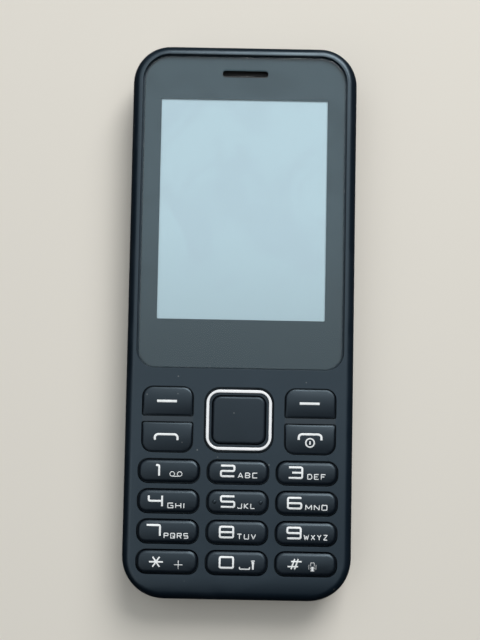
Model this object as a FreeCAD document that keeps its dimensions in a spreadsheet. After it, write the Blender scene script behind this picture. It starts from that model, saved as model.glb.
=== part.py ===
"""A bar-shaped keypad phone, as the separate pieces that come apart on a bench.

Millimetres. X points right and Y towards the earpiece, both seen from the front, and Z out of
the screen. The origin is the middle of the back face. Every driving size is a cell of the
sheet "sizes". HEIGHTS and PLACES are worked out from those cells, and each piece is bound to
them by expressions, so a change of one size carries the pieces that seat on it.
"""
import FreeCAD, Part
import math
import os
import re

import Sketcher

document = FreeCAD.newDocument("bar_phone")
sheet = document.addObject("Spreadsheet::Sheet", "sizes")

SIZES = {
    # Outer form
    "body_width": 49.8,
    "body_length": 121.8,
    "corner_top": 8.3,
    "corner_bottom": 9.4,
    "front_edge_round": 1.5,
    "back_edge_round": 2.6,
    "chin_length": 5.6,
    "chin_radius": 13.0,
    "side_wall": 1.3,
    "split_height": 3.5,
    "split_gap": 0.1,
    # Stack of thicknesses, from the back to the front
    "cover_wall": 1.1,
    "skin_gap": 0.2,
    "skin_wall": 1.0,
    "cell_gap": 0.15,
    "battery_thickness": 4.6,
    "deck_thickness": 0.6,
    "board_gap": 0.05,
    "board_thickness": 0.8,
    "dome_rise": 0.3,
    "dome_film": 0.1,
    "dome_gap": 0.1,
    "plunger_length": 1.05,
    "mat_thickness": 0.4,
    "key_flange": 0.9,
    "flange_gap": 0.2,
    "front_wall": 1.5,
    # Screen lens and what lies under it
    "lens_width": 44.44,
    "lens_length": 68.85,
    "lens_margin": 2.71,
    "lens_corner_top": 5.6,
    "lens_corner_bottom": 3.8,
    "lens_gap": 0.35,
    "lens_gap_top": 0.45,
    "lens_gap_bottom": 0.15,
    "lens_recess": 0.1,
    "lens_thickness": 0.9,
    "lens_edge": 0.12,
    "tape_thickness": 0.2,
    "tape_inset": 0.12,
    "display_gap": 0.05,
    "panel_width": 42.4,
    "panel_length": 58.9,
    "panel_thickness": 1.0,
    "panel_top_margin": 6.8,
    "backlight_thickness": 0.95,
    "tray_wall": 0.2,
    "tray_gap": 0.12,
    "flex_width": 21.0,
    "flex_thickness": 0.12,
    "flex_tail": 9.0,
    "flex_gap": 0.04,
    "shield_gap": 0.25,
    "shield_wall": 0.2,
    # Earpiece
    "slot_width": 10.0,
    "slot_height": 1.3,
    "slot_margin": 3.62,
    "mesh_width": 12.4,
    "mesh_height": 3.2,
    "mesh_thickness": 0.2,
    "channel_depth": 0.4,
    "receiver_width": 12.0,
    "receiver_height": 5.6,
    "receiver_thickness": 1.75,
    # Keys
    "key_gap": 0.2,
    "key_proud": 0.35,
    "key_crown": 0.22,
    "key_bevel": 0.28,
    "flange_reach": 0.45,
    "number_width": 13.4,
    "number_height": 5.28,
    "number_corner": 2.1,
    "column_pitch": 14.89,
    "row_pitch": 6.46,
    "last_row_margin": 8.535,
    "nav_rise": 11.22,
    "function_offset": 15.44,
    "function_width": 11.14,
    "soft_height": 6.41,
    "call_height": 6.63,
    "bridge_height": 1.24,
    "function_corner": 2.3,
    "bridge_corner": 0.6,
    "plunger_side": 1.8,
    "dome_side": 3.8,
    "arm_dome_side": 2.2,
    # Five-way pad
    "nav_opening_width": 15.14,
    "nav_opening_height": 14.17,
    "nav_opening_corner": 3.3,
    "ring_width": 14.2,
    "ring_height": 13.02,
    "ring_corner": 3.0,
    "ring_proud": 0.55,
    "trim_band": 0.92,
    "trim_height": 0.5,
    "lip_band": 0.25,
    "lip_drop": 0.25,
    "select_corner": 1.8,
    "trim_bevel": 0.12,
    "select_gap": 0.15,
    "select_proud": 0.4,
    "select_reach": 0.35,
    "rocker_flange": 0.5,
    "rocker_reach": 0.75,
    "rebate_gap": 0.2,
    "rebate_height": 1.0,
    "stud_side": 1.2,
    "stud_gap": 0.05,
    "stud_reach": 6.35,
    "side_plunger_reach": 6.75,
    # Battery and its bay
    "battery_width": 34.0,
    "battery_length": 53.0,
    "battery_centre": 11.5,
    "cell_round": 0.8,
    "bay_gap": 0.2,
    "bay_wall": 0.8,
    "card_bay_width": 40.4,
    "card_bay_length": 19.0,
    # Screws and their bosses
    "screw_radius": 0.7,
    "screw_head_radius": 1.2,
    "screw_head_height": 0.7,
    "screw_bite": 2.8,
    "pilot_gap": 0.02,
    "hole_gap": 0.1,
    "boss_radius": 1.9,
    "top_screw_across": 20.4,
    "top_screw_margin": 6.0,
    "end_screw_across": 15.0,
    "end_screw_margin": 3.3,
    # Sockets in the edges
    "jack_bore_radius": 1.85,
    "jack_width": 6.0,
    "jack_height": 4.4,
    "jack_length": 12.2,
    "jack_nose": 1.5,
    "jack_across": 13.0,
    "jack_setback": 0.5,
    "socket_gap": 0.1,
    "usb_width": 7.5,
    "usb_height": 2.6,
    "usb_depth": 5.0,
    "usb_wall": 0.3,
    "usb_corner": 0.7,
    "usb_setback": 0.4,
    "microphone_across": 8.0,
    "microphone_hole_radius": 0.5,
    "microphone_width": 3.8,
    "microphone_length": 3.0,
    "microphone_thickness": 1.0,
    "microphone_gap": 0.2,
    # Board and the pieces on it
    "board_width": 45.4,
    "board_top_margin": 3.4,
    "board_corner": 3.0,
    "board_clearance": 0.2,
    "tongue_width": 24.0,
    "tongue_length": 3.9,
    "can_width": 36.0,
    "upper_can_length": 22.0,
    "lower_can_length": 20.0,
    "can_pitch": 26.0,
    "chip_across": 8.5,
    "chip_side": 9.0,
    "mat_rail": 0.8,
    "mat_corner": 1.3,
    "corner_ease": 0.15,
    "dome_slope": 55.0,
    # Sockets in the card bay and the battery's contacts
    "sim_width": 12.6,
    "sim_length": 13.4,
    "memory_width": 12.0,
    "memory_length": 13.4,
    "card_socket_gap": 0.9,
    "card_socket_height": 1.35,
    "card_slot_height": 0.8,
    "socket_wall": 0.2,
    "contact_width": 9.2,
    "contact_length": 2.4,
    "contact_drop": 3.8,
    "contact_pitch": 2.9,
    "pin_radius": 0.4,
    "pin_height": 2.4,
    "usb_tongue_width": 3.8,
    "usb_tongue_height": 0.6,
    "usb_tongue_lift": 0.4,
    "usb_tongue_setback": 0.8,
    "speaker_corner": 2.0,
    "speaker_mesh_thickness": 0.1,
    "motor_across": 13.0,
    "motor_drop": 13.9,
    "motor_radius": 4.0,
    "motor_thickness": 2.7,
    "eye_radius": 1.1,
    "eye_sink": 0.5,
    "antenna_across": 9.0,
    "antenna_width": 15.0,
    "antenna_length": 12.0,
    "antenna_arm": 2.4,
    "antenna_sheet": 0.15,
    # Cover and chassis
    "chassis_bevel": 0.6,
    "catch_pitch": 40.0,
    "catch_length": 4.0,
    "catch_depth": 0.55,
    "catch_height": 0.8,
    "nail_width": 9.0,
    "nail_height": 0.6,
    # Back of the phone
    "camera_drop": 13.9,
    "camera_side": 6.2,
    "barrel_radius": 2.3,
    "window_radius": 3.3,
    "window_sink": 0.25,
    "torch_drop": 7.2,
    "torch_radius": 1.5,
    "torch_side": 3.0,
    "led_height": 0.8,
    "speaker_across": 10.0,
    "speaker_margin": 13.6,
    "speaker_width": 15.0,
    "speaker_height": 11.0,
    "speaker_thickness": 3.2,
    "grille_length": 9.0,
    "grille_slot": 1.0,
    "grille_pitch": 2.0,
}


def fill_sheet():
    """One row for each size: its name in column A, and its value, with the alias, in column B."""
    for row, (alias, number) in enumerate(SIZES.items(), start=1):
        sheet.set("A%d" % row, alias.replace("_", " "))
        sheet.set("B%d" % row, str(number))
        sheet.setAlias("B%d" % row, alias)
    document.recompute()


# Heights above the back face, each worked out from the sizes.
HEIGHTS = {
    "skin_back": "cover_wall + skin_gap",
    "skin_front": "skin_back + skin_wall",
    "battery_back": "cover_wall + cell_gap",
    "bay_roof": "battery_back + battery_thickness + cell_gap",
    "deck_top": "bay_roof + deck_thickness",
    "board_back": "deck_top + board_gap",
    "board_top": "board_back + board_thickness",
    "dome_top": "board_top + dome_film + dome_rise",
    "plunger_tip": "dome_top + dome_gap",
    "mat_back": "plunger_tip + plunger_length",
    "mat_top": "mat_back + mat_thickness",
    "flange_top": "mat_top + key_flange",
    "wall_inside": "flange_top + flange_gap",
    "front_face": "wall_inside + front_wall",
    "lens_front": "front_face - lens_recess",
    "lens_back": "lens_front - lens_thickness",
    "ledge": "lens_back - tape_thickness",
    "panel_front": "ledge - display_gap",
    "panel_back": "panel_front - panel_thickness",
    "backlight_back": "panel_back - backlight_thickness",
    "tray_back": "backlight_back - tray_wall",
    "pocket_back": "tray_back - display_gap",
    "shield_top": "tray_back - shield_gap",
    "cover_rim": "split_height - split_gap",
    "jack_axis": "tray_back - shield_gap - jack_height / 2",
    "usb_axis": "board_top",
    "flex_axis": "(panel_front + panel_back) / 2",
    "flex_fold": "(flex_axis - tray_back + flex_gap + flex_thickness / 2) / 2",
    "key_top": "front_face + key_proud",
    "ring_top": "front_face + ring_proud",
    "select_top": "front_face + select_proud",
    "microphone_height": "board_top + microphone_thickness / 2",
    "receiver_front": "ledge - mesh_thickness - channel_depth",
    "screw_seat": "skin_front + screw_head_height",
}

# Places across and along the front, and sizes that follow from a fit.
PLACES = {
    "top_edge": "body_length / 2",
    "lens_top_edge": "top_edge - lens_margin",
    "lens_centre": "lens_top_edge - lens_length / 2",
    "lens_bottom_edge": "lens_top_edge - lens_length",
    "recess_centre": "lens_centre + (lens_gap_top - lens_gap_bottom) / 2",
    "recess_length": "lens_length + lens_gap_top + lens_gap_bottom",
    "slot_centre": "lens_top_edge - slot_margin",
    "panel_centre": "lens_top_edge - panel_top_margin - panel_length / 2",
    "tray_width": "panel_width + 2 * display_gap + 2 * tray_wall",
    "tray_length": "panel_length + 2 * display_gap + 2 * tray_wall",
    "pocket_width": "tray_width + 2 * tray_gap",
    "pocket_length": "tray_length + 2 * tray_gap",
    "last_row": "last_row_margin - body_length / 2",
    "first_row": "last_row + 3 * row_pitch",
    "nav_centre": "first_row + nav_rise",
    "soft_centre": "nav_centre + bridge_height / 2 + soft_height / 2",
    "call_centre": "nav_centre - bridge_height / 2 - call_height / 2",
    "keypad_top": "soft_centre + soft_height / 2 + flange_reach",
    "keypad_bottom": "last_row - number_height / 2 - flange_reach",
    "keypad_centre": "(keypad_top + keypad_bottom) / 2",
    "keypad_length": "keypad_top - keypad_bottom",
    "keypad_width": "2 * column_pitch + number_width + 2 * flange_reach",
    "select_width": "ring_width - 2 * trim_band - 2 * lip_band - 2 * select_gap",
    "select_height": "ring_height - 2 * trim_band - 2 * lip_band - 2 * select_gap",
    "frame_inset": "side_wall + split_gap / 2",
    "top_screw_y": "top_edge - top_screw_margin",
    "end_screw_y": "end_screw_margin - top_edge",
    "board_top_edge": "top_edge - board_top_margin",
    "board_bottom_edge": "keypad_bottom",
    "board_centre": "(board_top_edge + board_bottom_edge) / 2",
    "board_length": "board_top_edge - board_bottom_edge",
    "upper_can_centre": "panel_centre + can_pitch / 2",
    "lower_can_centre": "panel_centre - can_pitch / 2",
    "contact_centre": "battery_top_edge + bay_gap + contact_length / 2",
    "jack_inner_end": "top_edge - jack_setback - jack_nose - jack_length",
    "motor_centre": "top_edge - motor_drop",
    "camera_centre": "top_edge - camera_drop",
    "torch_centre": "camera_centre - torch_drop",
    "speaker_centre": "speaker_margin - top_edge",
    "battery_top_edge": "battery_length / 2 - battery_centre",
    "card_bay_centre": "battery_top_edge + bay_gap + bay_wall + card_bay_length / 2",
}

FORMULAS = {**HEIGHTS, **PLACES}
"""Every worked-out value, by name."""


def bound(text):
    """The expression `text` with each name written out down to cells of the sheet."""
    def spelled(match):
        name = match.group()
        if name in SIZES:
            return "sizes." + name
        if name in FORMULAS:
            return "(" + bound(FORMULAS[name]) + ")"
        return name
    return re.sub(r"[a-z][a-z_]+", spelled, text)


def number(text):
    """The present value of an expression, in millimetres."""
    return float(sheet.evalExpression(bound(text)))


def new_body(label):
    """An empty body that will be written to parts/LABEL.step."""
    body = document.addObject("PartDesign::Body", label)
    body.Label = label
    body.AllowCompound = True
    return body


def origin_plane(body, role):
    """One of the body's own three planes."""
    return [feature for feature in body.Origin.OriginFeatures if feature.Role == role][0]


def sketch_on(body, name, x="0", y="0", z="0", plane="XY_Plane"):
    """A sketch on a plane of the body: x and y place its centre on the plane, z lifts it off.

    On XZ_Plane the sketch runs along X and Z and faces -Y, so z counts towards -Y. On YZ_Plane
    it runs along Y and Z and faces +X.
    """
    drawing = body.newObject("Sketcher::SketchObject", name)
    drawing.AttachmentSupport = [(origin_plane(body, plane), "")]
    drawing.MapMode = "FlatFace"
    for axis, text in (("x", x), ("y", y), ("z", z)):
        drawing.setExpression("AttachmentOffset.Base." + axis, bound(text))
    return drawing


def dimension(drawing, kind, elements, text):
    """A driving constraint whose value is the expression `text`."""
    index = drawing.addConstraint(Sketcher.Constraint(kind, *elements, number(text)))
    drawing.setExpression("Constraints[%d]" % index, bound(text))


def line(start, end):
    """A straight edge of a sketch."""
    return Part.LineSegment(FreeCAD.Vector(*start, 0), FreeCAD.Vector(*end, 0))


def arc(centre, radius, first, last):
    """An arc of a sketch, anticlockwise from `first` to `last` degrees."""
    circle = Part.Circle(FreeCAD.Vector(*centre, 0), FreeCAD.Vector(0, 0, 1), radius)
    return Part.ArcOfCircle(circle, math.radians(first), math.radians(last))


START, END, CENTRE = 1, 2, 3
ORIGIN = (-1, START)


def draw_rounded(drawing, width, height, top, bottom=None):
    """A rectangle about the sketch's origin, its upper corners rounded by `top`."""
    bottom = bottom or top
    half_width, half_height = number(width) / 2, number(height) / 2
    upper, lower = number(top), number(bottom)
    inner_low, inner_high = half_width - lower, half_width - upper
    edges = drawing.addGeometry([
        line((-inner_low, -half_height), (inner_low, -half_height)),
        arc((inner_low, lower - half_height), lower, 270, 360),
        line((half_width, lower - half_height), (half_width, half_height - upper)),
        arc((inner_high, half_height - upper), upper, 0, 90),
        line((inner_high, half_height), (-inner_high, half_height)),
        arc((-inner_high, half_height - upper), upper, 90, 180),
        line((-half_width, half_height - upper), (-half_width, lower - half_height)),
        arc((-inner_low, lower - half_height), lower, 180, 270),
    ], False)
    low, low_right, right, high_right, high, high_left, left, low_left = edges
    for edge, following in zip(edges, edges[1:] + edges[:1]):
        drawing.addConstraint(Sketcher.Constraint("Tangent", edge, END, following, START))
    for edge in (low, high):
        drawing.addConstraint(Sketcher.Constraint("Horizontal", edge))
    for edge in (right, left):
        drawing.addConstraint(Sketcher.Constraint("Vertical", edge))
    drawing.addConstraint(Sketcher.Constraint("Equal", high_right, high_left))
    drawing.addConstraint(Sketcher.Constraint("Equal", low_right, low_left))
    dimension(drawing, "Radius", (high_right,), top)
    dimension(drawing, "Radius", (low_right,), bottom)
    dimension(drawing, "DistanceX", (left, START, right, END), width)
    dimension(drawing, "DistanceX", (*ORIGIN, right, END), "(" + width + ") / 2")
    dimension(drawing, "DistanceY", (low, START, high, START), height)
    dimension(drawing, "DistanceY", (*ORIGIN, high, START), "(" + height + ") / 2")


def draw_box(drawing, width, height):
    """A plain rectangle about the sketch's origin."""
    half_width, half_height = number(width) / 2, number(height) / 2
    corners = [(-half_width, -half_height), (half_width, -half_height),
               (half_width, half_height), (-half_width, half_height)]
    edges = drawing.addGeometry([line(corner, corners[index - 3])
                                 for index, corner in enumerate(corners)], False)
    low, right, high, left = edges
    for edge, following in zip(edges, edges[1:] + edges[:1]):
        drawing.addConstraint(Sketcher.Constraint("Coincident", edge, END, following, START))
    for edge in (low, high):
        drawing.addConstraint(Sketcher.Constraint("Horizontal", edge))
    for edge in (right, left):
        drawing.addConstraint(Sketcher.Constraint("Vertical", edge))
    dimension(drawing, "DistanceX", (low, START, low, END), width)
    dimension(drawing, "DistanceX", (*ORIGIN, right, START), "(" + width + ") / 2")
    dimension(drawing, "DistanceY", (right, START, right, END), height)
    dimension(drawing, "DistanceY", (*ORIGIN, right, END), "(" + height + ") / 2")


def draw_circle(drawing, radius):
    """A circle about the sketch's origin."""
    circle = Part.Circle(FreeCAD.Vector(0, 0, 0), FreeCAD.Vector(0, 0, 1), number(radius))
    edge = drawing.addGeometry(circle, False)
    drawing.addConstraint(Sketcher.Constraint("Coincident", edge, CENTRE, *ORIGIN))
    dimension(drawing, "Radius", (edge,), radius)


def draw_slot(drawing, length, width):
    """A slot along the sketch's x about its origin, with round ends, `length` end to end."""
    radius = number(width) / 2
    reach = number(length) / 2 - radius
    edges = drawing.addGeometry([
        line((-reach, -radius), (reach, -radius)),
        arc((reach, 0), radius, 270, 450),
        line((reach, radius), (-reach, radius)),
        arc((-reach, 0), radius, 90, 270),
    ], False)
    low, right, high, left = edges
    for edge, following in zip(edges, edges[1:] + edges[:1]):
        drawing.addConstraint(Sketcher.Constraint("Tangent", edge, END, following, START))
    drawing.addConstraint(Sketcher.Constraint("Horizontal", low))
    drawing.addConstraint(Sketcher.Constraint("PointOnObject", right, CENTRE, -1))
    drawing.addConstraint(Sketcher.Constraint("PointOnObject", left, CENTRE, -1))
    dimension(drawing, "Radius", (right,), "(" + width + ") / 2")
    dimension(drawing, "DistanceX", (*ORIGIN, right, CENTRE),
              "((" + length + ") - (" + width + ")) / 2")
    dimension(drawing, "DistanceX", (left, CENTRE, *ORIGIN),
              "((" + length + ") - (" + width + ")) / 2")


def pad(body, drawing, length, both_ways=False):
    """Material added over a sketch, `length` thick."""
    feature = body.newObject("PartDesign::Pad", drawing.Name + "_pad")
    feature.Profile = (drawing, [])
    feature.Midplane = both_ways
    feature.setExpression("Length", bound(length))
    document.recompute()
    return feature


def cut(body, drawing, depth, forward=False, both_ways=False):
    """Material taken away behind a sketch, or in front of it where `forward` is set."""
    before = body.Shape.Volume
    feature = body.newObject("PartDesign::Pocket", drawing.Name + "_cut")
    feature.Profile = (drawing, [])
    feature.Reversed = forward
    feature.Midplane = both_ways
    feature.setExpression("Length", bound(depth))
    document.recompute()
    if body.Shape.Volume >= before:
        raise ValueError(feature.Name + " takes nothing away")
    return feature


def mirrored(body, features):
    """The features again on the other side of the middle."""
    mirror = body.newObject("PartDesign::Mirrored", features[0].Name + "_mirror")
    mirror.Originals = features
    mirror.MirrorPlane = (origin_plane(body, "YZ_Plane"), [""])
    body.Tip = mirror
    document.recompute()
    return mirror


def row_of(drawing, axis, span, count):
    """A straight pattern along an axis of a sketch, `span` from the first copy to the last."""
    pattern = document.addObject("PartDesign::LinearPattern", drawing.Name + axis)
    pattern.Direction = (drawing, [axis])
    pattern.setExpression("Length", bound(span))
    pattern.Occurrences = count
    return pattern


def key_grid(body, feature, drawing):
    """A feature at the lowest left number key, repeated over three columns and four rows."""
    grid = body.newObject("PartDesign::MultiTransform", feature.Name + "_grid")
    grid.Originals = [feature]
    grid.Transformations = [row_of(drawing, "H_Axis", "2 * column_pitch", 3),
                            row_of(drawing, "V_Axis", "3 * row_pitch", 4)]
    body.Tip = grid
    document.recompute()
    return grid


def round_edges(body, chosen, radius):
    """A fillet of the body's edges that `chosen` accepts."""
    return dress_edges(body, "PartDesign::Fillet", "Radius", chosen, radius)


def bevel_edges(body, chosen, size):
    """A chamfer of the body's edges that `chosen` accepts."""
    return dress_edges(body, "PartDesign::Chamfer", "Size", chosen, size)


def dress_edges(body, kind, setting, chosen, text):
    base = body.Tip
    names = ["Edge%d" % index for index, edge in enumerate(base.Shape.Edges, start=1)
             if chosen(edge)]
    feature = body.newObject(kind, base.Name + "_edges")
    feature.Base = (base, names)
    feature.setExpression(setting, bound(text))
    document.recompute()
    return feature


def lies_at(text):
    """A test for edges that lie in the plane at this height."""
    height = number(text)
    return lambda edge: (abs(edge.BoundBox.ZMin - height) < 1e-4
                         and abs(edge.BoundBox.ZMax - height) < 1e-4)


def plate(label, width, length, thickness, x="0", y="0", z="0", corner=None):
    """A flat piece standing on height z, with rounded corners where a corner is given."""
    body = new_body(label)
    outline = sketch_on(body, label + "_outline", x, y, z)
    if corner:
        draw_rounded(outline, width, length, corner)
    else:
        draw_box(outline, width, length)
    pad(body, outline, thickness)
    return body


# ---------------------------------------------------------------- casings and lens

def screw_places():
    """The two screws on the right: across, along. Two more mirror them."""
    return (("top", "top_screw_across", "top_screw_y"),
            ("end", "end_screw_across", "end_screw_y"))


def cut_chin(shell):
    """The front rolls down in an arc over the last few millimetres below the keys."""
    overshoot = 1.0
    chin = sketch_on(shell, "chin", "chin_length - top_edge", "front_face", plane="YZ_Plane")
    radius, reach = number("chin_radius"), number("chin_length") + overshoot
    drop = math.sqrt(radius ** 2 - reach ** 2) - radius
    last = 90 + math.degrees(math.asin(reach / radius))
    roll, side, top, back = chin.addGeometry([
        arc((0, -radius), radius, 90, last),
        line((-reach, drop), (-reach, overshoot)),
        line((-reach, overshoot), (0, overshoot)),
        line((0, overshoot), (0, 0)),
    ], False)
    for edge, following in ((roll, side), (side, top), (top, back)):
        chin.addConstraint(Sketcher.Constraint("Coincident", edge, END, following, START))
    chin.addConstraint(Sketcher.Constraint("Coincident", back, END, *ORIGIN))
    chin.addConstraint(Sketcher.Constraint("Coincident", roll, START, *ORIGIN))
    chin.addConstraint(Sketcher.Constraint("PointOnObject", roll, CENTRE, -2))
    chin.addConstraint(Sketcher.Constraint("Vertical", side))
    chin.addConstraint(Sketcher.Constraint("Vertical", back))
    chin.addConstraint(Sketcher.Constraint("Horizontal", top))
    dimension(chin, "Radius", (roll,), "chin_radius")
    dimension(chin, "DistanceX", (side, END, *ORIGIN), "chin_length + 1")
    dimension(chin, "DistanceY", (*ORIGIN, back, START), "1")
    cut(shell, chin, "body_width + 2", both_ways=True)


def open_keypad(shell):
    """The hollow over the key mat and the openings for the keys and the pad."""
    hollow = sketch_on(shell, "keypad_hollow", y="keypad_centre", z="wall_inside")
    draw_box(hollow, "keypad_width + 2 * flange_gap", "keypad_length + 2 * flange_gap")
    cut(shell, hollow, "wall_inside - pocket_back")
    number_key = sketch_on(shell, "number_key", "-column_pitch", "last_row", "front_face")
    draw_rounded(number_key, "number_width", "number_height", "number_corner")
    key_grid(shell, cut(shell, number_key, "front_wall"), number_key)
    soft_key = sketch_on(shell, "soft_key", "function_offset", "soft_centre", "front_face")
    draw_rounded(soft_key, "function_width", "soft_height", "function_corner", "bridge_corner")
    soft_cut = cut(shell, soft_key, "front_wall")
    call_key = sketch_on(shell, "call_key", "function_offset", "call_centre", "front_face")
    draw_rounded(call_key, "function_width", "call_height", "bridge_corner", "function_corner")
    mirrored(shell, [soft_cut, cut(shell, call_key, "front_wall")])
    nav = sketch_on(shell, "nav_opening", y="nav_centre", z="front_face")
    draw_rounded(nav, "nav_opening_width", "nav_opening_height", "nav_opening_corner")
    cut(shell, nav, "front_wall")


def seat_lens_and_display(shell):
    """The lens lies in a recess, and the display in a pocket under it."""
    recess = sketch_on(shell, "lens_recess", y="recess_centre", z="front_face")
    draw_rounded(recess, "lens_width + 2 * lens_gap", "recess_length",
                 "lens_corner_top + lens_gap", "lens_corner_bottom + lens_gap_bottom")
    cut(shell, recess, "front_face - ledge")
    pocket = sketch_on(shell, "display_pocket", y="panel_centre", z="ledge")
    draw_box(pocket, "pocket_width", "pocket_length")
    cut(shell, pocket, "ledge - pocket_back")
    notch = sketch_on(shell, "flex_notch", y="panel_centre - pocket_length / 2", z="ledge")
    draw_box(notch, "flex_width + 1", "2 * (flex_fold + flex_thickness)")
    cut(shell, notch, "ledge - pocket_back")
    mesh_seat = sketch_on(shell, "mesh_seat", y="slot_centre", z="ledge")
    draw_slot(mesh_seat, "mesh_width + 2 * socket_gap", "mesh_height + 2 * socket_gap")
    cut(shell, mesh_seat, "mesh_thickness")
    channel = sketch_on(shell, "sound_channel", y="slot_centre", z="ledge - mesh_thickness")
    draw_slot(channel, "slot_width", "slot_height")
    cut(shell, channel, "channel_depth")
    receiver = sketch_on(shell, "receiver_pocket", y="slot_centre", z="receiver_front")
    draw_box(receiver, "receiver_width + 2 * socket_gap", "receiver_height + 2 * socket_gap")
    cut(shell, receiver, "receiver_front - pocket_back")


def on_front_rim(edge):
    """Whether an edge runs round the outside of the front face and the chin."""
    box = edge.BoundBox
    outside = number("lens_width / 2 + lens_gap")
    crease = number("chin_length - top_edge")
    at_side = max(abs(box.XMin), abs(box.XMax)) > outside
    at_end = max(abs(box.YMin), abs(box.YMax)) > number("top_edge") - 1e-3
    level = box.ZMin > number("wall_inside - front_edge_round")
    across = abs(box.YMin - crease) < 1e-3 and abs(box.YMax - crease) < 1e-3
    return level and (at_side or at_end) and not across and box.ZMax > 0


def make_front_housing():
    """The moulded front: rim, lens recess, display frame, keypad plate, bosses and side walls."""
    shell = new_body("front_housing")
    outline = sketch_on(shell, "outline", z="split_height")
    draw_rounded(outline, "body_width", "body_length", "corner_top", "corner_bottom")
    pad(shell, outline, "front_face - split_height")
    cut_chin(shell)
    hollow = sketch_on(shell, "hollow", z="pocket_back")
    draw_rounded(hollow, "body_width - 2 * side_wall", "body_length - 2 * side_wall",
                 "corner_top - side_wall", "corner_bottom - side_wall")
    cut(shell, hollow, "pocket_back - split_height")
    seat_lens_and_display(shell)
    open_keypad(shell)
    bosses, pilots = [], []
    for name, across, along in screw_places():
        boss = sketch_on(shell, name + "_boss", across, along, "deck_top")
        draw_circle(boss, "boss_radius")
        bosses.append(pad(shell, boss, "pocket_back - deck_top"))
    mirrored(shell, bosses)
    for name, across, along in screw_places():
        pilot = sketch_on(shell, name + "_pilot", across, along, "deck_top")
        draw_circle(pilot, "screw_radius + pilot_gap")
        pilots.append(cut(shell, pilot, "screw_bite + hole_gap", forward=True))
    mirrored(shell, pilots)
    jack = sketch_on(shell, "jack_opening", "jack_across", "jack_axis",
                     "1 + side_wall - top_edge", "XZ_Plane")
    draw_circle(jack, "jack_height / 2 + socket_gap")
    cut(shell, jack, "side_wall + 2")
    usb = sketch_on(shell, "usb_opening", "0", "usb_axis", "top_edge + 1", "XZ_Plane")
    draw_rounded(usb, "usb_width + 2 * socket_gap", "usb_height + 2 * socket_gap",
                 "usb_corner + socket_gap")
    cut(shell, usb, "1 + usb_setback + usb_depth + socket_gap")
    mouth = sketch_on(shell, "microphone_hole", "microphone_across", "microphone_height",
                      "top_edge + 1", "XZ_Plane")
    draw_circle(mouth, "microphone_hole_radius")
    cut(shell, mouth, "side_wall + 2")
    round_edges(shell, on_front_rim, "front_edge_round")
    return shell


def cut_screw_holes(shell):
    """Through holes for the screws, with wider holes behind them for the heads."""
    drawings = []
    for name, across, along in screw_places():
        shank = sketch_on(shell, name + "_shank", across, along, "deck_top")
        draw_circle(shank, "screw_radius + hole_gap")
        drawings.append(cut(shell, shank, "deck_top - skin_back"))
        head = sketch_on(shell, name + "_head", across, along, "screw_seat")
        draw_circle(head, "screw_head_radius + hole_gap")
        drawings.append(cut(shell, head, "screw_seat - skin_back"))
    mirrored(shell, drawings)


def card_places():
    """The three card sockets in a row: name, centre across, width, length."""
    pitch = "sim_width / 2 + card_socket_gap + "
    return (("sim_left", "-(sim_width + card_socket_gap)", "sim_width", "sim_length"),
            ("sim_right", "0", "sim_width", "sim_length"),
            ("memory", pitch + "memory_width / 2", "memory_width", "memory_length"))


def catch_places():
    """Where the cover's catches stand along each side."""
    return ("-catch_pitch", "0", "catch_pitch")


def make_rear_housing():
    """The chassis inside the cover: battery and card bays, a deck for the board, screw tubes."""
    shell = new_body("rear_housing")
    outline = sketch_on(shell, "chassis", z="skin_back")
    draw_rounded(outline, "body_width - 2 * frame_inset", "body_length - 2 * frame_inset",
                 "corner_top - frame_inset", "corner_bottom - frame_inset")
    pad(shell, outline, "deck_top - skin_back")
    bevel_edges(shell, lies_at("skin_back"), "chassis_bevel")
    hollow = sketch_on(shell, "chassis_hollow", z="deck_top")
    inset = "2 * frame_inset - 2 * skin_wall"
    draw_rounded(hollow, "body_width - " + inset, "body_length - " + inset,
                 "corner_top - frame_inset - skin_wall",
                 "corner_bottom - frame_inset - skin_wall")
    cut(shell, hollow, "deck_top - skin_front")
    bay_width, bay_length = "battery_width + 2 * bay_gap", "battery_length + 2 * bay_gap"
    walls = sketch_on(shell, "bay_walls", y="-battery_centre", z="skin_back")
    draw_box(walls, bay_width + " + 2 * bay_wall", bay_length + " + 2 * bay_wall")
    pad(shell, walls, "deck_top - skin_back")
    card_walls = sketch_on(shell, "card_bay_walls", y="card_bay_centre", z="skin_back")
    draw_box(card_walls, "card_bay_width + 2 * bay_wall", "card_bay_length + 2 * bay_wall")
    pad(shell, card_walls, "deck_top - skin_back")
    bay = sketch_on(shell, "battery_bay", y="-battery_centre", z="bay_roof")
    draw_box(bay, bay_width, bay_length)
    cut(shell, bay, "bay_roof - skin_back")
    card_bay = sketch_on(shell, "card_bay", y="card_bay_centre", z="bay_roof")
    draw_box(card_bay, "card_bay_width", "card_bay_length")
    cut(shell, card_bay, "bay_roof - skin_back")
    for name, across, width, length in card_places():
        window = sketch_on(shell, name + "_window", across, "card_bay_centre", "deck_top")
        draw_box(window, width + " + 2 * socket_gap", length + " + 2 * socket_gap")
        cut(shell, window, "deck_thickness")
    contact = sketch_on(shell, "contact_window", y="contact_centre", z="deck_top")
    draw_box(contact, "contact_width + 2 * socket_gap",
             "contact_length + 2 * (bay_gap + socket_gap)")
    cut(shell, contact, "deck_top - skin_back")
    tubes = []
    for name, across, along in screw_places():
        tube = sketch_on(shell, name + "_tube", across, along, "skin_front")
        draw_circle(tube, "boss_radius")
        tubes.append(pad(shell, tube, "deck_top - skin_front"))
    mirrored(shell, tubes)
    cut_screw_holes(shell)
    open_chassis(shell)
    return shell


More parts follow.
